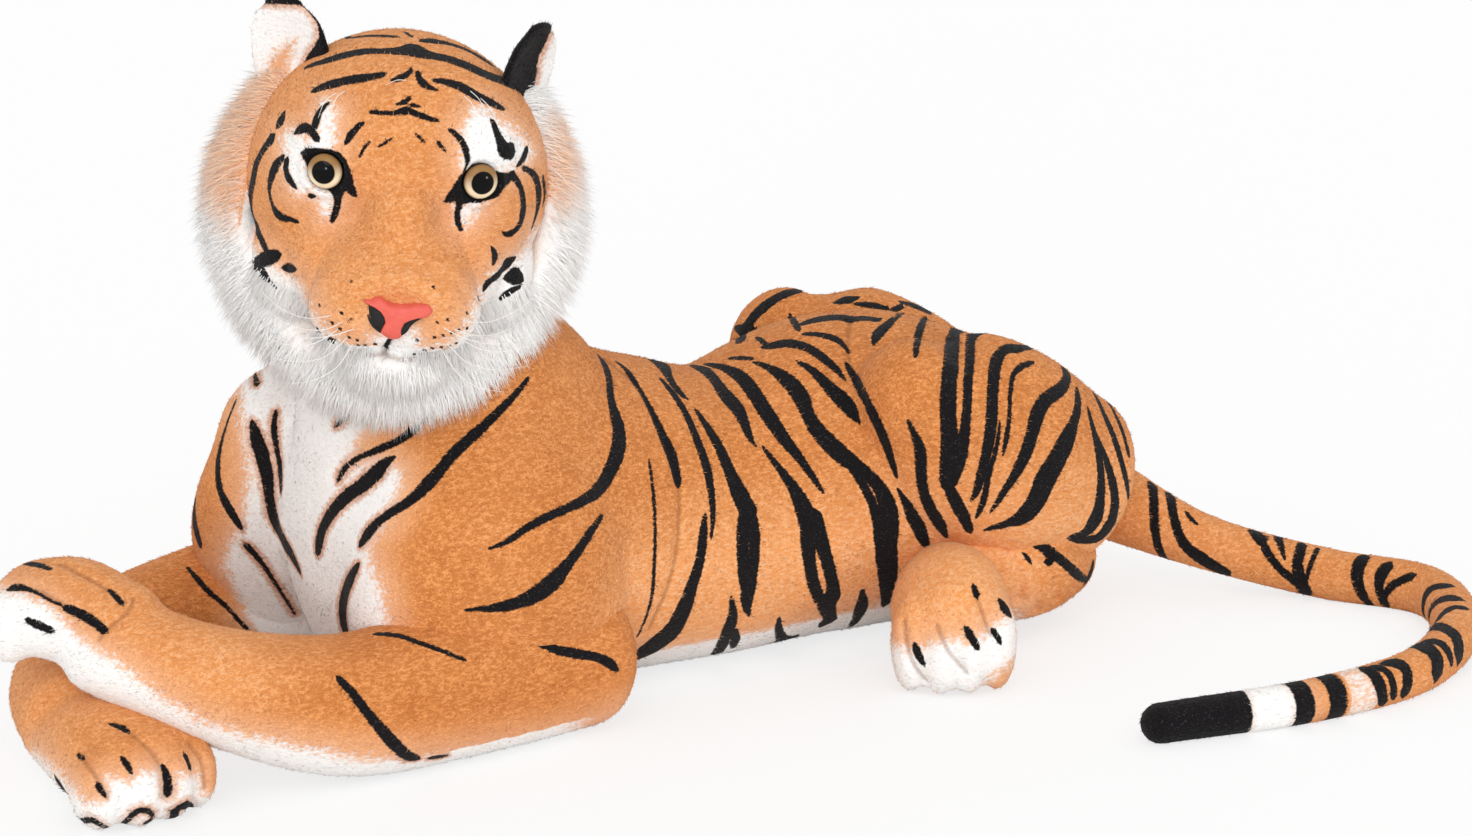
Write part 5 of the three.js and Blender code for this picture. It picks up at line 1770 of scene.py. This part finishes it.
class AddTail(bpy.types.Operator):
    """Tail: three lengths with rings, a white band and a black tip"""

    bl_idname = "tiger.add_tail"
    bl_label = "Tail"

    def execute(self, context):
        rows = np.array(TAIL_SHARES, float)
        at = rows[:, :3] * np.array((TAIL_LENGTH, TAIL_LENGTH, TAIL_THICKNESS)) + TAIL_ROOT
        girth = rows[:, 3] * TAIL_THICKNESS
        spans = len(at) - 1
        for i, (name, node, bend) in enumerate(TAIL_LENGTHS):
            shares = np.linspace(TAIL_STOPS[i], TAIL_STOPS[i + 1], TAIL_RINGS) / spans
            line = smooth_line(at, shares)
            half = smooth_line(np.stack([girth, girth], 1), shares, even=True)
            ends = (girth[0] if i == 0 else TAIL_JOIN_CAP, girth[-1] if i == 2 else TAIL_JOIN_CAP)
            skin = add_object(f"{name}_skin", *tube(line, half, ends))
            settle(skin)
            printed = Print(skin)
            for stroke in TAIL_BANDS:
                self.ring(printed, stroke, line)
            printed.tone[:] = 0.4
            if i == 2:
                self.zones(printed, line)
            for piece in dressed(printed, (node,), lambda roots: self.flow(roots, line), TUFTS["tail"]):
                if bend is None:
                    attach(piece, "tail_root")
                else:
                    before, after, stop = bend
                    ahead, behind = (
                        smooth_line(at, [(stop + step) / spans]) for step in (TAIL_BEND_STEP, -TAIL_BEND_STEP)
                    )
                    heading = unit(ahead - behind)[0]
                    start, end = at[stop] - heading * TAIL_BEND_REACH, at[stop] + heading * TAIL_BEND_REACH
                    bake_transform(piece)
                    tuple(start)
                    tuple(end)
        return {"FINISHED"}

    def nearest(self, places, line):
        return np.linalg.norm(places[:, None] - line[None], axis=2).argmin(1)

    def flow(self, roots, line):
        return unit(np.gradient(line, axis=0))[self.nearest(roots, line)]

    def zones(self, printed, line):
        """The black tip, the white band and the rings after it, straight round the tail."""
        along, down = pixels_of(line)[self.nearest(printed.places, line)].T
        low_arm = down > TAIL_LOW_ARM
        scale = CAMERA_REACH / FOCAL_PIXELS
        tip, white, ring, orange, second, peach = TAIL_ZONES

        def band(start, stop):
            return np.maximum(start - along, along - stop) * scale

        black = np.minimum(np.minimum(band(0, tip), band(white, ring)), band(orange, second))
        printed.ink_field(np.where(low_arm, black, FAR))
        printed.white = np.where(low_arm, band(tip - WHITE_OVERLAP, white + WHITE_OVERLAP), NOT_WHITE)
        pale = low_arm & (along > second) & (along < peach)
        printed.white = np.where(pale, PEACH_EDGE, printed.white)

    def ring(self, printed, stroke, line):
        """A band as the camera sees it, and its other half round the back of the tail."""
        path = printed.cast(stroke, strict=True)
        if path is None:
            return
        places, normals, half = path[0], path[1], path[2] * RING_SHARE
        printed.ink((places, normals, half))
        behind = 2 * line[self.nearest(places, line)] - places
        printed.ink((*nearest_on(printed.tree, behind), half), hidden=True)


def press_seat(printed, centre, axis, radius, sink=0.0006, rim=0.0, reach=0.009, slope=0.0):
    """Makes room in a skin for a moulded piece, with a raised rim of plush around it."""
    offset = printed.places - centre
    height = offset @ axis
    aside = np.linalg.norm(offset - height[:, None] * axis, axis=1)
    near = np.abs(height) < 0.03
    inside = near & (aside < radius + (reach if slope else 0))
    level = -sink + slope * np.maximum(aside - radius, 0)
    printed.places[inside] += axis * np.minimum(level - height, 0)[inside, None]
    if rim:
        ring = near & (aside >= radius) & (aside < radius + reach)
        share = np.sin(np.pi * np.clip((aside[ring] - radius) / reach, 0, 1)) ** 2
        printed.places[ring] += axis * (rim * share)[:, None]


def node_tip(node, axis):
    """The outermost point of a moulded node along its axis."""
    places = places_of(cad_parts[node])
    return places[(places @ axis).argmax()]


def eye_axis(side):
    return head_direction(turn_matrix((EYE_TURN * side, -EYE_RISE, 0)) @ Vector((1, 0, 0)))


NOSE_AXIS = unit(head_direction((1, 0, 0.16)))
# Fillings of the face, each on both sides: jowl, cheek, brow and the muzzle's root, and then the nose's bridge.
FACE_EGGS = (
    ((0.118, 0.027, -0.055), (0.036, 0.034, 0.032)),
    ((0.030, 0.066, -0.050), (0.048, 0.036, 0.044)),
    ((0.072, 0.046, 0.052), (0.022, 0.034, 0.016)),
    ((0.066, 0.050, -0.034), (0.040, 0.028, 0.040)),
)
BRIDGE_EGG = ((0.085, 0, 0.002), (0.045, 0.030, 0.040))
# How far under its tip a moulded piece meets the plush, and the seat that the plush leaves it.
EYE_SEAT_DEPTH, EYE_SEAT_GAP, EYE_RIM_HEIGHT = 0.0096, 0.0003, 0.0028
NOSE_SEAT_DEPTH, NOSE_SEAT = 0.0085, {"radius": 0.012, "sink": 0.002, "reach": 0.026, "slope": 0.4}
MOUTH_DEPTH, MOUTH_WIDTH = 0.004, 0.0035
MOUTH_MIDDLE = np.array((388.0, 344.0))
MOUTH_SEAMS = strokes("""
395,337,2 390,344,2 383,354,2
383,354,2 366,356,2 348,350,1.5 330,340,1
383,354,2 402,360,2 424,358,1.5 446,352,1
""")
CHIN_STRANDS, CHIN_SWIRL = 9000, 0.22
# Stripes on the back of the head, in millimetres in the head's own frame, with their full width.
HEAD_BACK_STRIPES = strokes("""
-40,-62,85,3 -62,-58,70,5 -80,-52,50,6 -90,-45,25,5 -92,-40,0,2
-45,-20,100,3 -70,-18,85,6 -90,-16,60,7 -100,-14,30,6 -98,-12,5,2
-45,22,100,3 -70,22,85,6 -90,20,60,7 -100,18,30,6 -98,15,5,2
-40,62,85,3 -62,60,70,5 -80,54,50,6 -90,47,25,5 -92,42,0,2
-20,-85,60,3 -40,-88,40,6 -60,-80,15,6 -70,-72,-10,2
-20,88,60,3 -40,88,40,6 -60,80,15,6 -70,72,-10,2
""")


class AddHead(bpy.types.Operator):
    """Head: skull, muzzle, cheeks and chin under one printed skin with seats for the eyes and nose"""

    bl_idname = "tiger.add_head"
    bl_label = "Head"

    def execute(self, context):
        forms = [skull_form(), muzzle_form(), egg(CHIN_PLACE, CHIN_HALF)]
        for side in (1, -1):
            forms += [egg((x, side * y, z), half) for (x, y, z), half in FACE_EGGS]
        forms.append(egg(*BRIDGE_EGG))
        forms = [moved(form, head_matrix) for form in forms]
        skin = one_skin("head_skin", forms, sizes().head_mesh, ROUNDS["head"])
        printed = Print(skin)
        for name, side in HEAD_SIDES.items():
            axis = unit(eye_axis(side))
            centre = node_tip(f"eye_{name}", axis) - axis * EYE_SEAT_DEPTH
            press_seat(printed, centre, axis, EYE_RADIUS + EYE_SEAT_GAP, rim=EYE_RIM_HEIGHT)
        nose_seat = node_tip("nose", NOSE_AXIS) - NOSE_AXIS * NOSE_SEAT_DEPTH
        press_seat(printed, nose_seat, NOSE_AXIS, **NOSE_SEAT)
        printed.keep_shape()
        for path in [printed.cast(stroke) for stroke in MOUTH_SEAMS]:
            crease(printed, path, MOUTH_DEPTH, MOUTH_WIDTH)
        printed.keep_shape()
        printed.ink_all(HEAD_STRIPES)
        for corners in EYE_BLACK:
            printed.ink_patch(corners)
        printed.ink_all(f"{dot},{WHISKER_DOT_WIDTH}" for group in WHISKER_DOTS for dot in group.split())
        for stroke in HEAD_BACK_STRIPES:
            printed.ink(self.local_path(printed, stroke))
        printed.whiten(FACE_WHITE)
        forward, _, rise = in_head(printed.places).T
        printed.white[(rise < -0.075) & (forward > 0)] = -0.02
        printed.tone = np.clip(0.55 - 4.0 * rise, 0.5, 0.9)
        self.chin_fur(printed)
        nodes = ("head", "muzzle", "chin")
        for piece in dressed(printed, nodes, self.flow, TUFTS["head"], fill=0.95):
            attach(piece, "head")
        return {"FINISHED"}

    def chin_fur(self, printed):
        """Longer white fur on the chin and jowls, running into the ruff."""
        local = in_head(printed.places)
        forward, _, rise = local.T
        low = np.clip((-0.052 - rise) / 0.012, 0, 1) * (printed.white < -0.003)
        low *= np.clip((0.152 - forward) / 0.008, 0, 1) * np.clip((forward + 0.03) / 0.02, 0, 1)
        from_mouth = np.linalg.norm(pixels_of(printed.places) - MOUTH_MIDDLE, axis=1)
        low *= np.clip(from_mouth / 15 - 1, 0, 1)
        rng = np.random.default_rng(piles().seed + 7)
        roots, normals, _ = rooted(printed, CHIN_STRANDS, rng, low)
        outward = in_head(roots) * np.array((0.4, 1.0, 0.0))
        heads = unit(unit(outward) * 0.55 + np.array((-0.2, 0, -1.0))) @ head_array[:3, :3].T
        heads = unit(heads + normals * 0.35 + rng.normal(0, CHIN_SWIRL, roots.shape))
        long_piece("chin_fur", roots, normals, heads, sizes().chin_length, np.zeros(len(roots)), rng)

    def local_path(self, printed, stroke):
        """A stroke given in the head's own frame, in millimetres, with its full width."""
        stops = stroke_stops(stroke)
        path = smooth_line(stops, np.linspace(0, 1, 5 * len(stops)))
        return (*nearest_on(printed.tree, from_head(path[:, :3] / 1000)), path[:, 3] / 2000)

    def flow(self, roots):
        """The pile runs back from the nose and outwards."""
        local = in_head(roots) - np.array((0.15, 0, -0.03))
        return unit(local) @ head_array[:3, :3].T


EYE_FOOT, EYE_HEIGHT = -0.0092, 0.0080
EYE_SIDES, DOME_STEPS = 64, 20
WASHERS = ("eye_washer_left", "eye_washer_right", "nose_washer")


class AddEyes(bpy.types.Operator):
    """Eyes: clear domes over a painted iris, each on its post in the head"""

    bl_idname = "tiger.add_eyes"
    bl_label = "Eyes"

    def execute(self, context):
        for name, side in HEAD_SIDES.items():
            axis = unit(eye_axis(side))
            tip = node_tip(f"eye_{name}", axis)
            level = unit(np.cross(UPRIGHT, axis))
            rise = np.cross(axis, level)
            profile = [(EYE_RADIUS, EYE_FOOT), (EYE_RADIUS, -EYE_HEIGHT)]
            for angle in np.radians(np.linspace(0, 90, DOME_STEPS)[1:-1]):
                profile.append((EYE_RADIUS * math.cos(angle), -EYE_HEIGHT + EYE_HEIGHT * math.sin(angle)))
            places, iris = [tip + axis * EYE_FOOT], [(0, 0, 0)]
            for radius, height in profile:
                for a in np.linspace(0, 2 * math.pi, EYE_SIDES, endpoint=False):
                    across, up = math.cos(a) * radius, math.sin(a) * radius
                    places.append(tip + axis * height + level * across + rise * up)
                    iris.append((radius / EYE_RADIUS, up / EYE_RADIUS, a))
            places.append(tip)
            iris.append((0, 0, 0))
            eye = add_object(f"eye_{name}_glass", np.array(places), tube_faces(EYE_SIDES, len(profile)))
            store(eye, "iris", iris)
            eye.data.materials.append(eye_glass())
            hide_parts(f"eye_{name}")
            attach(eye, "head")
        for name in WASHERS:
            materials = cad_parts[name].data.materials
            materials.clear()
            materials.append(clear_washer())
        return {"FINISHED"}


# Outlines of the nose and of its two nostrils, in the photograph's pixels.
NOSE_OUTLINE = (
    "363,299 370,298 378,296 383,298 387,301 393,303 400,304 408,304 416,303 424,303 429,304 432,308 433,311"
    " 430,315 424,318 417,321 411,326 407,332 403,335 399,338 394,339 388,338 382,334 377,331 371,325 367,316"
    " 364,307"
)
NOSTRILS = strokes("""
361,300 367,303 374,306 380,310 384,316 385,321 382,327 380,334 374,330 368,324 364,314
401,328 404,322 410,319 418,317 423,318 418,324 411,329 406,337 401,334
""")
NOSE_MIDDLE = "394,318"
NOSE_POINTS, NOSE_RINGS = 160, 40
# From the tip of the nose back to its base, on to the foot in the plush, and how far its face stands out.
NOSE_BASE, NOSE_FOOT, NOSE_SWELL = 0.0088, -0.006, 0.0086
NOSTRIL_DEPTH, NOSTRIL_SHARE, NOSTRIL_EDGE = 0.0058, 0.9, 0.0012


class AddNose(bpy.types.Operator):
    """Nose: a smooth Y-shaped moulding between two hollow nostrils"""

    bl_idname = "tiger.add_nose"
    bl_label = "Nose"

    def execute(self, context):
        self.base = node_tip("nose", NOSE_AXIS) - NOSE_AXIS * NOSE_BASE
        self.level = unit(np.cross(UPRIGHT, NOSE_AXIS))
        self.rise = np.cross(NOSE_AXIS, self.level)
        loop = self.flat(NOSE_OUTLINE)
        middle = self.flat(NOSE_MIDDLE)[0]
        holes = [self.flat(corners) for corners in NOSTRILS]
        closed = np.vstack([loop[-3:], loop, loop[:4]])
        ends = 3 / (len(closed) - 1), (3 + len(loop)) / (len(closed) - 1)
        outline = smooth_line(closed, np.linspace(*ends, NOSE_POINTS + 1)[:-1])
        foot = self.base + NOSE_AXIS * NOSE_FOOT
        places, hollow = [[foot + self.spot(middle[None])[0]]], [[0.0]]
        places.append(foot + self.spot(outline))
        hollow.append(np.zeros(NOSE_POINTS))
        shares = 1 - np.arange(NOSE_RINGS + 1) / NOSE_RINGS
        for share in shares:
            spots = (middle + (outline - middle) * share)[: NOSE_POINTS if share else 1]
            depth, dark = self.height(spots, share, holes)
            places.append(self.base + self.spot(spots) + NOSE_AXIS * depth[:, None])
            hollow.append(dark)
        nose = add_object("nose_skin", np.vstack(places), tube_faces(NOSE_POINTS, NOSE_RINGS + 1))
        store(nose, "hollow", np.concatenate(hollow))
        nose.data.materials.append(rose_vinyl())
        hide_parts("nose")
        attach(nose, "head")
        return {"FINISHED"}

    def spot(self, flat):
        return flat[:, :1] * self.level + flat[:, 1:] * self.rise

    def flat(self, corners):
        """Pixels as places across the nose, on the plane of its face."""
        out = []
        for x, y in stroke_stops(corners):
            aim = pixel_direction(x, y)
            reached = ((self.base - camera_eye) @ NOSE_AXIS) / (aim @ NOSE_AXIS)
            offset = camera_eye + aim * reached - self.base
            out.append((offset @ self.level, offset @ self.rise))
        return np.array(out)

    def height(self, spots, share, holes):
        """How far the nose stands out at some places, and how far inside a nostril they lie."""
        depth = NOSE_SWELL * math.sqrt(max(0.0, 1 - share**5))
        dark = np.max([0.5 - outline_gap(spots, loop) / NOSTRIL_EDGE for loop in holes], axis=0)
        dark = np.clip(dark, 0, 1)
        return depth - min(depth, NOSTRIL_DEPTH) * dark * NOSTRIL_SHARE, dark


def ear_matrix(name):
    side = HEAD_SIDES[name]
    places, faces = skull_form()
    skull = BVHTree.FromPolygons([tuple(place) for place in places], faces)
    foot, upward = (Vector((x, y * side, z)).normalized() for x, y, z in (EAR_FEET[name], EAR_LEAN))
    at = skull.ray_cast(foot * 0.4, -foot)[0]
    turn = math.radians(EAR_TURNS[name])
    level = upward.cross(Vector((math.cos(turn), math.sin(turn), 0))).normalized()
    local = Matrix((level.cross(upward), level, upward)).transposed().to_4x4()
    local.translation = at
    return head_matrix @ local


# The girth and the cup of an ear as shares of its size: a height, its reach, and how deep each face is pressed.
EAR_GIRTH, EAR_MIDDLE, EAR_SPAN = 0.46, 0.25, 0.78
CUP_MIDDLE, CUP_SPAN = 0.36, 0.62
CUP_DEPTH, CUP_BACK_DEPTH = 0.0085, 0.0015
EAR_RIM, EAR_RIM_DEPTH = 0.0006, -0.003


class AddEars(bpy.types.Operator):
    """Ears: cupped, black behind and round the rim, white in front"""

    bl_idname = "tiger.add_ears"
    bl_label = "Ears"

    def execute(self, context):
        thick, wide, tall = EAR_SIZE
        rows = np.array(EAR_SHARES, float)
        at = np.stack([0 * rows[:, 0], 0 * rows[:, 0], rows[:, 0] * tall], 1)
        half = rows[:, 1:3] * np.array((wide, thick))
        for name in HEAD_SIDES:
            places, faces = loft(at, half, caps("ear", tall), up=(1, 0, 0), sides=72, rings=36)
            x, y, z = places.copy().T
            rise = (z - EAR_MIDDLE * tall) / (EAR_SPAN * tall)
            girth = EAR_GIRTH * wide * np.sqrt(np.clip(1.05 - rise**2, 0.05, 1))
            cup = np.clip(1 - (y / girth) ** 2, 0, 1)
            cup = cup * np.clip(1 - ((z - CUP_MIDDLE * tall) / (CUP_SPAN * tall)) ** 2, 0, 1)
            front = x > 0
            places[front, 0] -= (CUP_DEPTH * cup)[front]
            places[~front, 0] -= (CUP_BACK_DEPTH * cup)[~front]
            matrix = ear_matrix(name)
            skin = add_object(f"ear_{name}_skin", *moved((places, faces), matrix))
            printed = Print(skin)
            inner = np.full(len(places), NOT_WHITE)
            printed.patch(inner, EAR_WHITES[name])
            turned = x < EAR_RIM
            black = np.where(turned, EAR_RIM_DEPTH, np.maximum(-inner, EAR_RIM_DEPTH))
            printed.ink_field(black)
            printed.white[:] = np.where(turned, NOT_WHITE, inner)
            if name == "right":
                tuft = np.full(len(places), NOT_WHITE)
                printed.patch(tuft, EAR_ORANGE)
                printed.white = np.maximum(printed.white, -tuft)
                printed.layers[-1][1][(tuft < 0) & ~turned] = AWAY
            nodes = (f"ear_{name}", f"ear_lining_{name}")
            flow = steady(matrix.to_3x3() @ Vector((0.1, 0, 1)))
            settings = {"slot": "black_plush", "pile_slot": "white_plush", "fill": 0.5}
            for piece in dressed(printed, nodes, flow, TUFTS["ear"], **settings):
                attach(piece, "head")
        return {"FINISHED"}


RUFF_PIECES = (
    ("cheek_ruff_left", CHEEK_RUFF_SHARES, 1),
    ("cheek_ruff_right", CHEEK_RUFF_SHARES, -1),
    ("throat_ruff", THROAT_RUFF_SHARES, 1),
)
THROAT_SHARE = 0.8
# How softly the ruff's orange fades, and how far its locks stray.
RUFF_FADE, RUFF_SWIRL = 0.016, 0.25


class AddRuff(bpy.types.Operator):
    """Ruff: locks of long fur rooted on a padded roll behind the cheeks and under the chin"""

    bl_idname = "tiger.add_ruff"
    bl_label = "Ruff"

    def execute(self, context):
        for index, (name, rows, side) in enumerate(RUFF_PIECES):
            base = add_object(f"{name}_base", *moved(ruff_form(rows, side), head_matrix))
            printed = Print(base, white=-0.05)
            edge = np.full(len(printed.places), NOT_WHITE)
            for corners in RUFF_ORANGE:
                printed.patch(edge, corners)
            warm = np.clip(0.5 - edge / RUFF_FADE, 0, 1)
            printed.white = np.where(warm > 0.5, 0.01, -0.02)
            finish_skin(printed, (name,), slot="white_plush", fill=0.7)
            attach(base, "head")
            rng = np.random.default_rng(piles().seed + index)
            roots, normals, spread = rooted(printed, piles().ruff_strands, rng)
            heads = self.lie(roots, normals, name, rng)
            length = sizes().ruff_length * (THROAT_SHARE if name == "throat_ruff" else 1.0)
            long_piece(f"{name}_fur", roots, normals, heads, length, spread(warm), rng)
        return {"FINISHED"}

    def lie(self, roots, normals, name, rng):
        """Which way the locks point: out, back and down."""
        local = in_head(roots)
        spin = head_array[:3, :3].T
        outward = unit(local * np.array((0.0, 1.0, 1.0))) + np.array((-0.7, 0, -0.45))
        if name == "throat_ruff":
            outward = unit(local * np.array((0.3, 1.0, 0.0))) * 0.45 + np.array((-0.1, 0, -1.0))
        swirl = rng.normal(0, RUFF_SWIRL, roots.shape)
        return unit(unit(outward) @ spin + normals * 0.3 + swirl)


# Each group of bristles: its name, its tracks, and how far its tips stand forward.
BRISTLES = (("whiskers", WHISKER_TRACKS, 0.045), ("brow_hairs", BROW_HAIRS, 0.012))
BRISTLE_ROOT, BRISTLE_STEPS = 0.004, 24
# What share of that lift nears the camera, and the thickness left at a tip.
BRISTLE_NEARING, BRISTLE_TIP = 0.6, 0.25


class AddWhiskers(bpy.types.Operator):
    """Whiskers and brow hairs: fine tapered bristles set in the muzzle and over the eyes"""

    bl_idname = "tiger.add_whiskers"
    bl_label = "Whiskers"

    def execute(self, context):
        tree = Print(bpy.data.objects["head_skin"]).tree
        for name, tracks, lift in BRISTLES:
            forms = []
            for track in tracks:
                stops = stroke_stops(track)
                root, normal, _, reached = tree.ray_cast(Vector(camera_eye), Vector(pixel_direction(*stops[0])))
                if root is None:
                    continue
                line = [np.array(root) - np.array(normal) * BRISTLE_ROOT]
                for i, (x, y) in enumerate(stops[1:], 1):
                    forward = lift * i / (len(stops) - 1)
                    depth = reached - forward * BRISTLE_NEARING - BRISTLE_ROOT
                    line.append(camera_eye + pixel_direction(x, y) * depth)
                line = smooth_line(line, np.linspace(0, 1, BRISTLE_STEPS))
                girth = sizes().whisker_thickness / 2 * np.linspace(1, BRISTLE_TIP, BRISTLE_STEPS)
                forms.append(tube(line, np.stack([girth, girth], 1), (girth[0], girth[-1]), 6, 2))
            hairs = add_object(name, *gathered(forms))
            hairs.data.materials.append(whisker_nylon())
            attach(hairs, "head")
        return {"FINISHED"}


FLOOR_REACH, FLOOR_GLOW, ROOM_LIGHT = 9.0, 0.75, 0.72
SENSOR_WIDTH = 36.0
# Each lamp: its name, its place, its strength and the angle that it fills, in degrees.
LAMPS = (
    ("key", (-1.3, -2.1, 2.1), 0.9, 40),
    ("back", (1.2, 2.4, 2.2), 0.22, 60),
    ("fill", (1.6, -2.2, 1.2), 0.15, 60),
    ("low_front", (-2.4, -0.9, 0.8), 0.24, 60),
    ("left_glint", (1.31, -2.75, 0.28), 0.34, 9),
    ("right_glint", (-1.97, -2.31, 0.39), 0.34, 9),
)


class AddStage(bpy.types.Operator):
    """Stage: a plain pale floor, soft studio light and the camera at the photograph's place"""

    bl_idname = "tiger.add_stage"
    bl_label = "Stage"

    def execute(self, context):
        scene = context.scene
        scene.view_settings.view_transform = "Standard"
        corners = [(x * FLOOR_REACH, y * FLOOR_REACH, 0) for x, y in ((-1, -1), (1, -1), (1, 1), (-1, 1))]
        floor = add_object("floor", corners, [(0, 1, 2, 3)])
        floor.data.materials.append(self.floor_finish())
        floor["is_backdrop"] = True
        scene.world = scene.world or bpy.data.worlds.new("studio")
        scene.world.use_nodes = True
        self.light_room(Nodes(scene.world.node_tree))
        for entry in LAMPS:
            self.lamp(*entry)
        lens = bpy.data.cameras.new("photo_camera")
        lens.sensor_width = SENSOR_WIDTH
        lens.lens = FOCAL_PIXELS * SENSOR_WIDTH / PHOTO_SIZE[0]
        lens.shift_x = (PHOTO_SIZE[0] / 2 - OPTICAL_AXIS_PIXEL[0]) / PHOTO_SIZE[0]
        lens.shift_y = (OPTICAL_AXIS_PIXEL[1] - PHOTO_SIZE[1] / 2) / PHOTO_SIZE[0]
        scene.camera = linked("photo_camera", lens)
        self.aim(scene.camera, camera_eye, Vector(-camera_back))
        return {"FINISHED"}

    def aim(self, obj, place, heading):
        obj.location = place
        obj.rotation_mode = "QUATERNION"
        obj.rotation_quaternion = heading.to_track_quat("-Z", "Y")

    def light_room(self, tree):
        """Soft light from all round, and white where the camera, gloss or clear plastic sees the room."""
        tree.nodes.clear()
        rays = tree.node("ShaderNodeLightPath").outputs
        seen = tree.maths("MAXIMUM", rays["Is Camera Ray"], rays["Is Glossy Ray"])
        seen = tree.maths("MAXIMUM", seen, rays["Is Transmission Ray"])
        rooms = []
        for strength in (ROOM_LIGHT, 1.0):
            room = tree.node("ShaderNodeBackground")
            room.inputs["Color"].default_value = (1, 1, 1, 1)
            room.inputs["Strength"].default_value = strength
            rooms.append(room)
        output = tree.node("ShaderNodeOutputWorld")
        tree.feed(output.inputs[0], tree.mix_shaders(seen, *rooms))

    def lamp(self, name, place, strength, angle):
        light = bpy.data.lights.new(name, "SUN")
        light.energy = strength
        light.angle = math.radians(angle)
        self.aim(linked(name, light), place, Vector(CAMERA_TARGET) - Vector(place))

    def floor_finish(self):
        f = Finish("pale_floor", 0.9, Specular_IOR_Level=0.1)
        f.shader.inputs["Base Color"].default_value = (0.95, 0.95, 0.95, 1)
        share = f.times(f.node("ShaderNodeLightPath").outputs["Is Camera Ray"], FLOOR_GLOW)
        mixed = f.mix_shaders(share, f.shader, f.node("ShaderNodeEmission"))
        f.links.new(mixed, f.nodes["Material Output"].inputs["Surface"])
        return f.material


class TigerPanel(bpy.types.Panel):
    """Lists the tiger's pieces in the sidebar"""

    bl_idname = "VIEW3D_PT_tiger"
    bl_label = "Plush tiger"
    bl_space_type = "VIEW_3D"
    bl_region_type = "UI"
    bl_category = "Plush tiger"

    def draw(self, context):
        for operator in PIECES:
            self.layout.operator(operator.bl_idname)
        for group in (sizes(), colours(), piles()):
            for key in group.__annotations__:
                self.layout.prop(group, key)


PIECES = (
    AddStage,
    AddBody,
    AddHindLegs,
    AddForelegs,
    AddTail,
    AddHead,
    AddEyes,
    AddNose,
    AddEars,
    AddRuff,
    AddWhiskers,
)
CLASSES = (TigerSizes, TigerColours, TigerPiles, *PIECES, TigerPanel)


def register():
    for entry in CLASSES:
        bpy.utils.register_class(entry)
    bpy.types.Scene.tiger_sizes = PointerProperty(type=TigerSizes)
    bpy.types.Scene.tiger_colours = PointerProperty(type=TigerColours)
    bpy.types.Scene.tiger_piles = PointerProperty(type=TigerPiles)


def unregister():
    del bpy.types.Scene.tiger_piles, bpy.types.Scene.tiger_colours, bpy.types.Scene.tiger_sizes
    for entry in reversed(CLASSES):
        bpy.utils.unregister_class(entry)


def main():
    register()
    bpy.ops.tiger.add_stage()
    bpy.ops.tiger.add_body()
    bpy.ops.tiger.add_hind_legs()
    bpy.ops.tiger.add_forelegs()
    bpy.ops.tiger.add_tail()
    bpy.ops.tiger.add_head()
    bpy.ops.tiger.add_eyes()
    bpy.ops.tiger.add_nose()
    bpy.ops.tiger.add_ears()
    bpy.ops.tiger.add_ruff()
    bpy.ops.tiger.add_whiskers()
    bpy.context.view_layer.update()
    {"cad": cad_box, "looks": [list(corner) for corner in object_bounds()]}


if __name__ == "__main__":
    main()
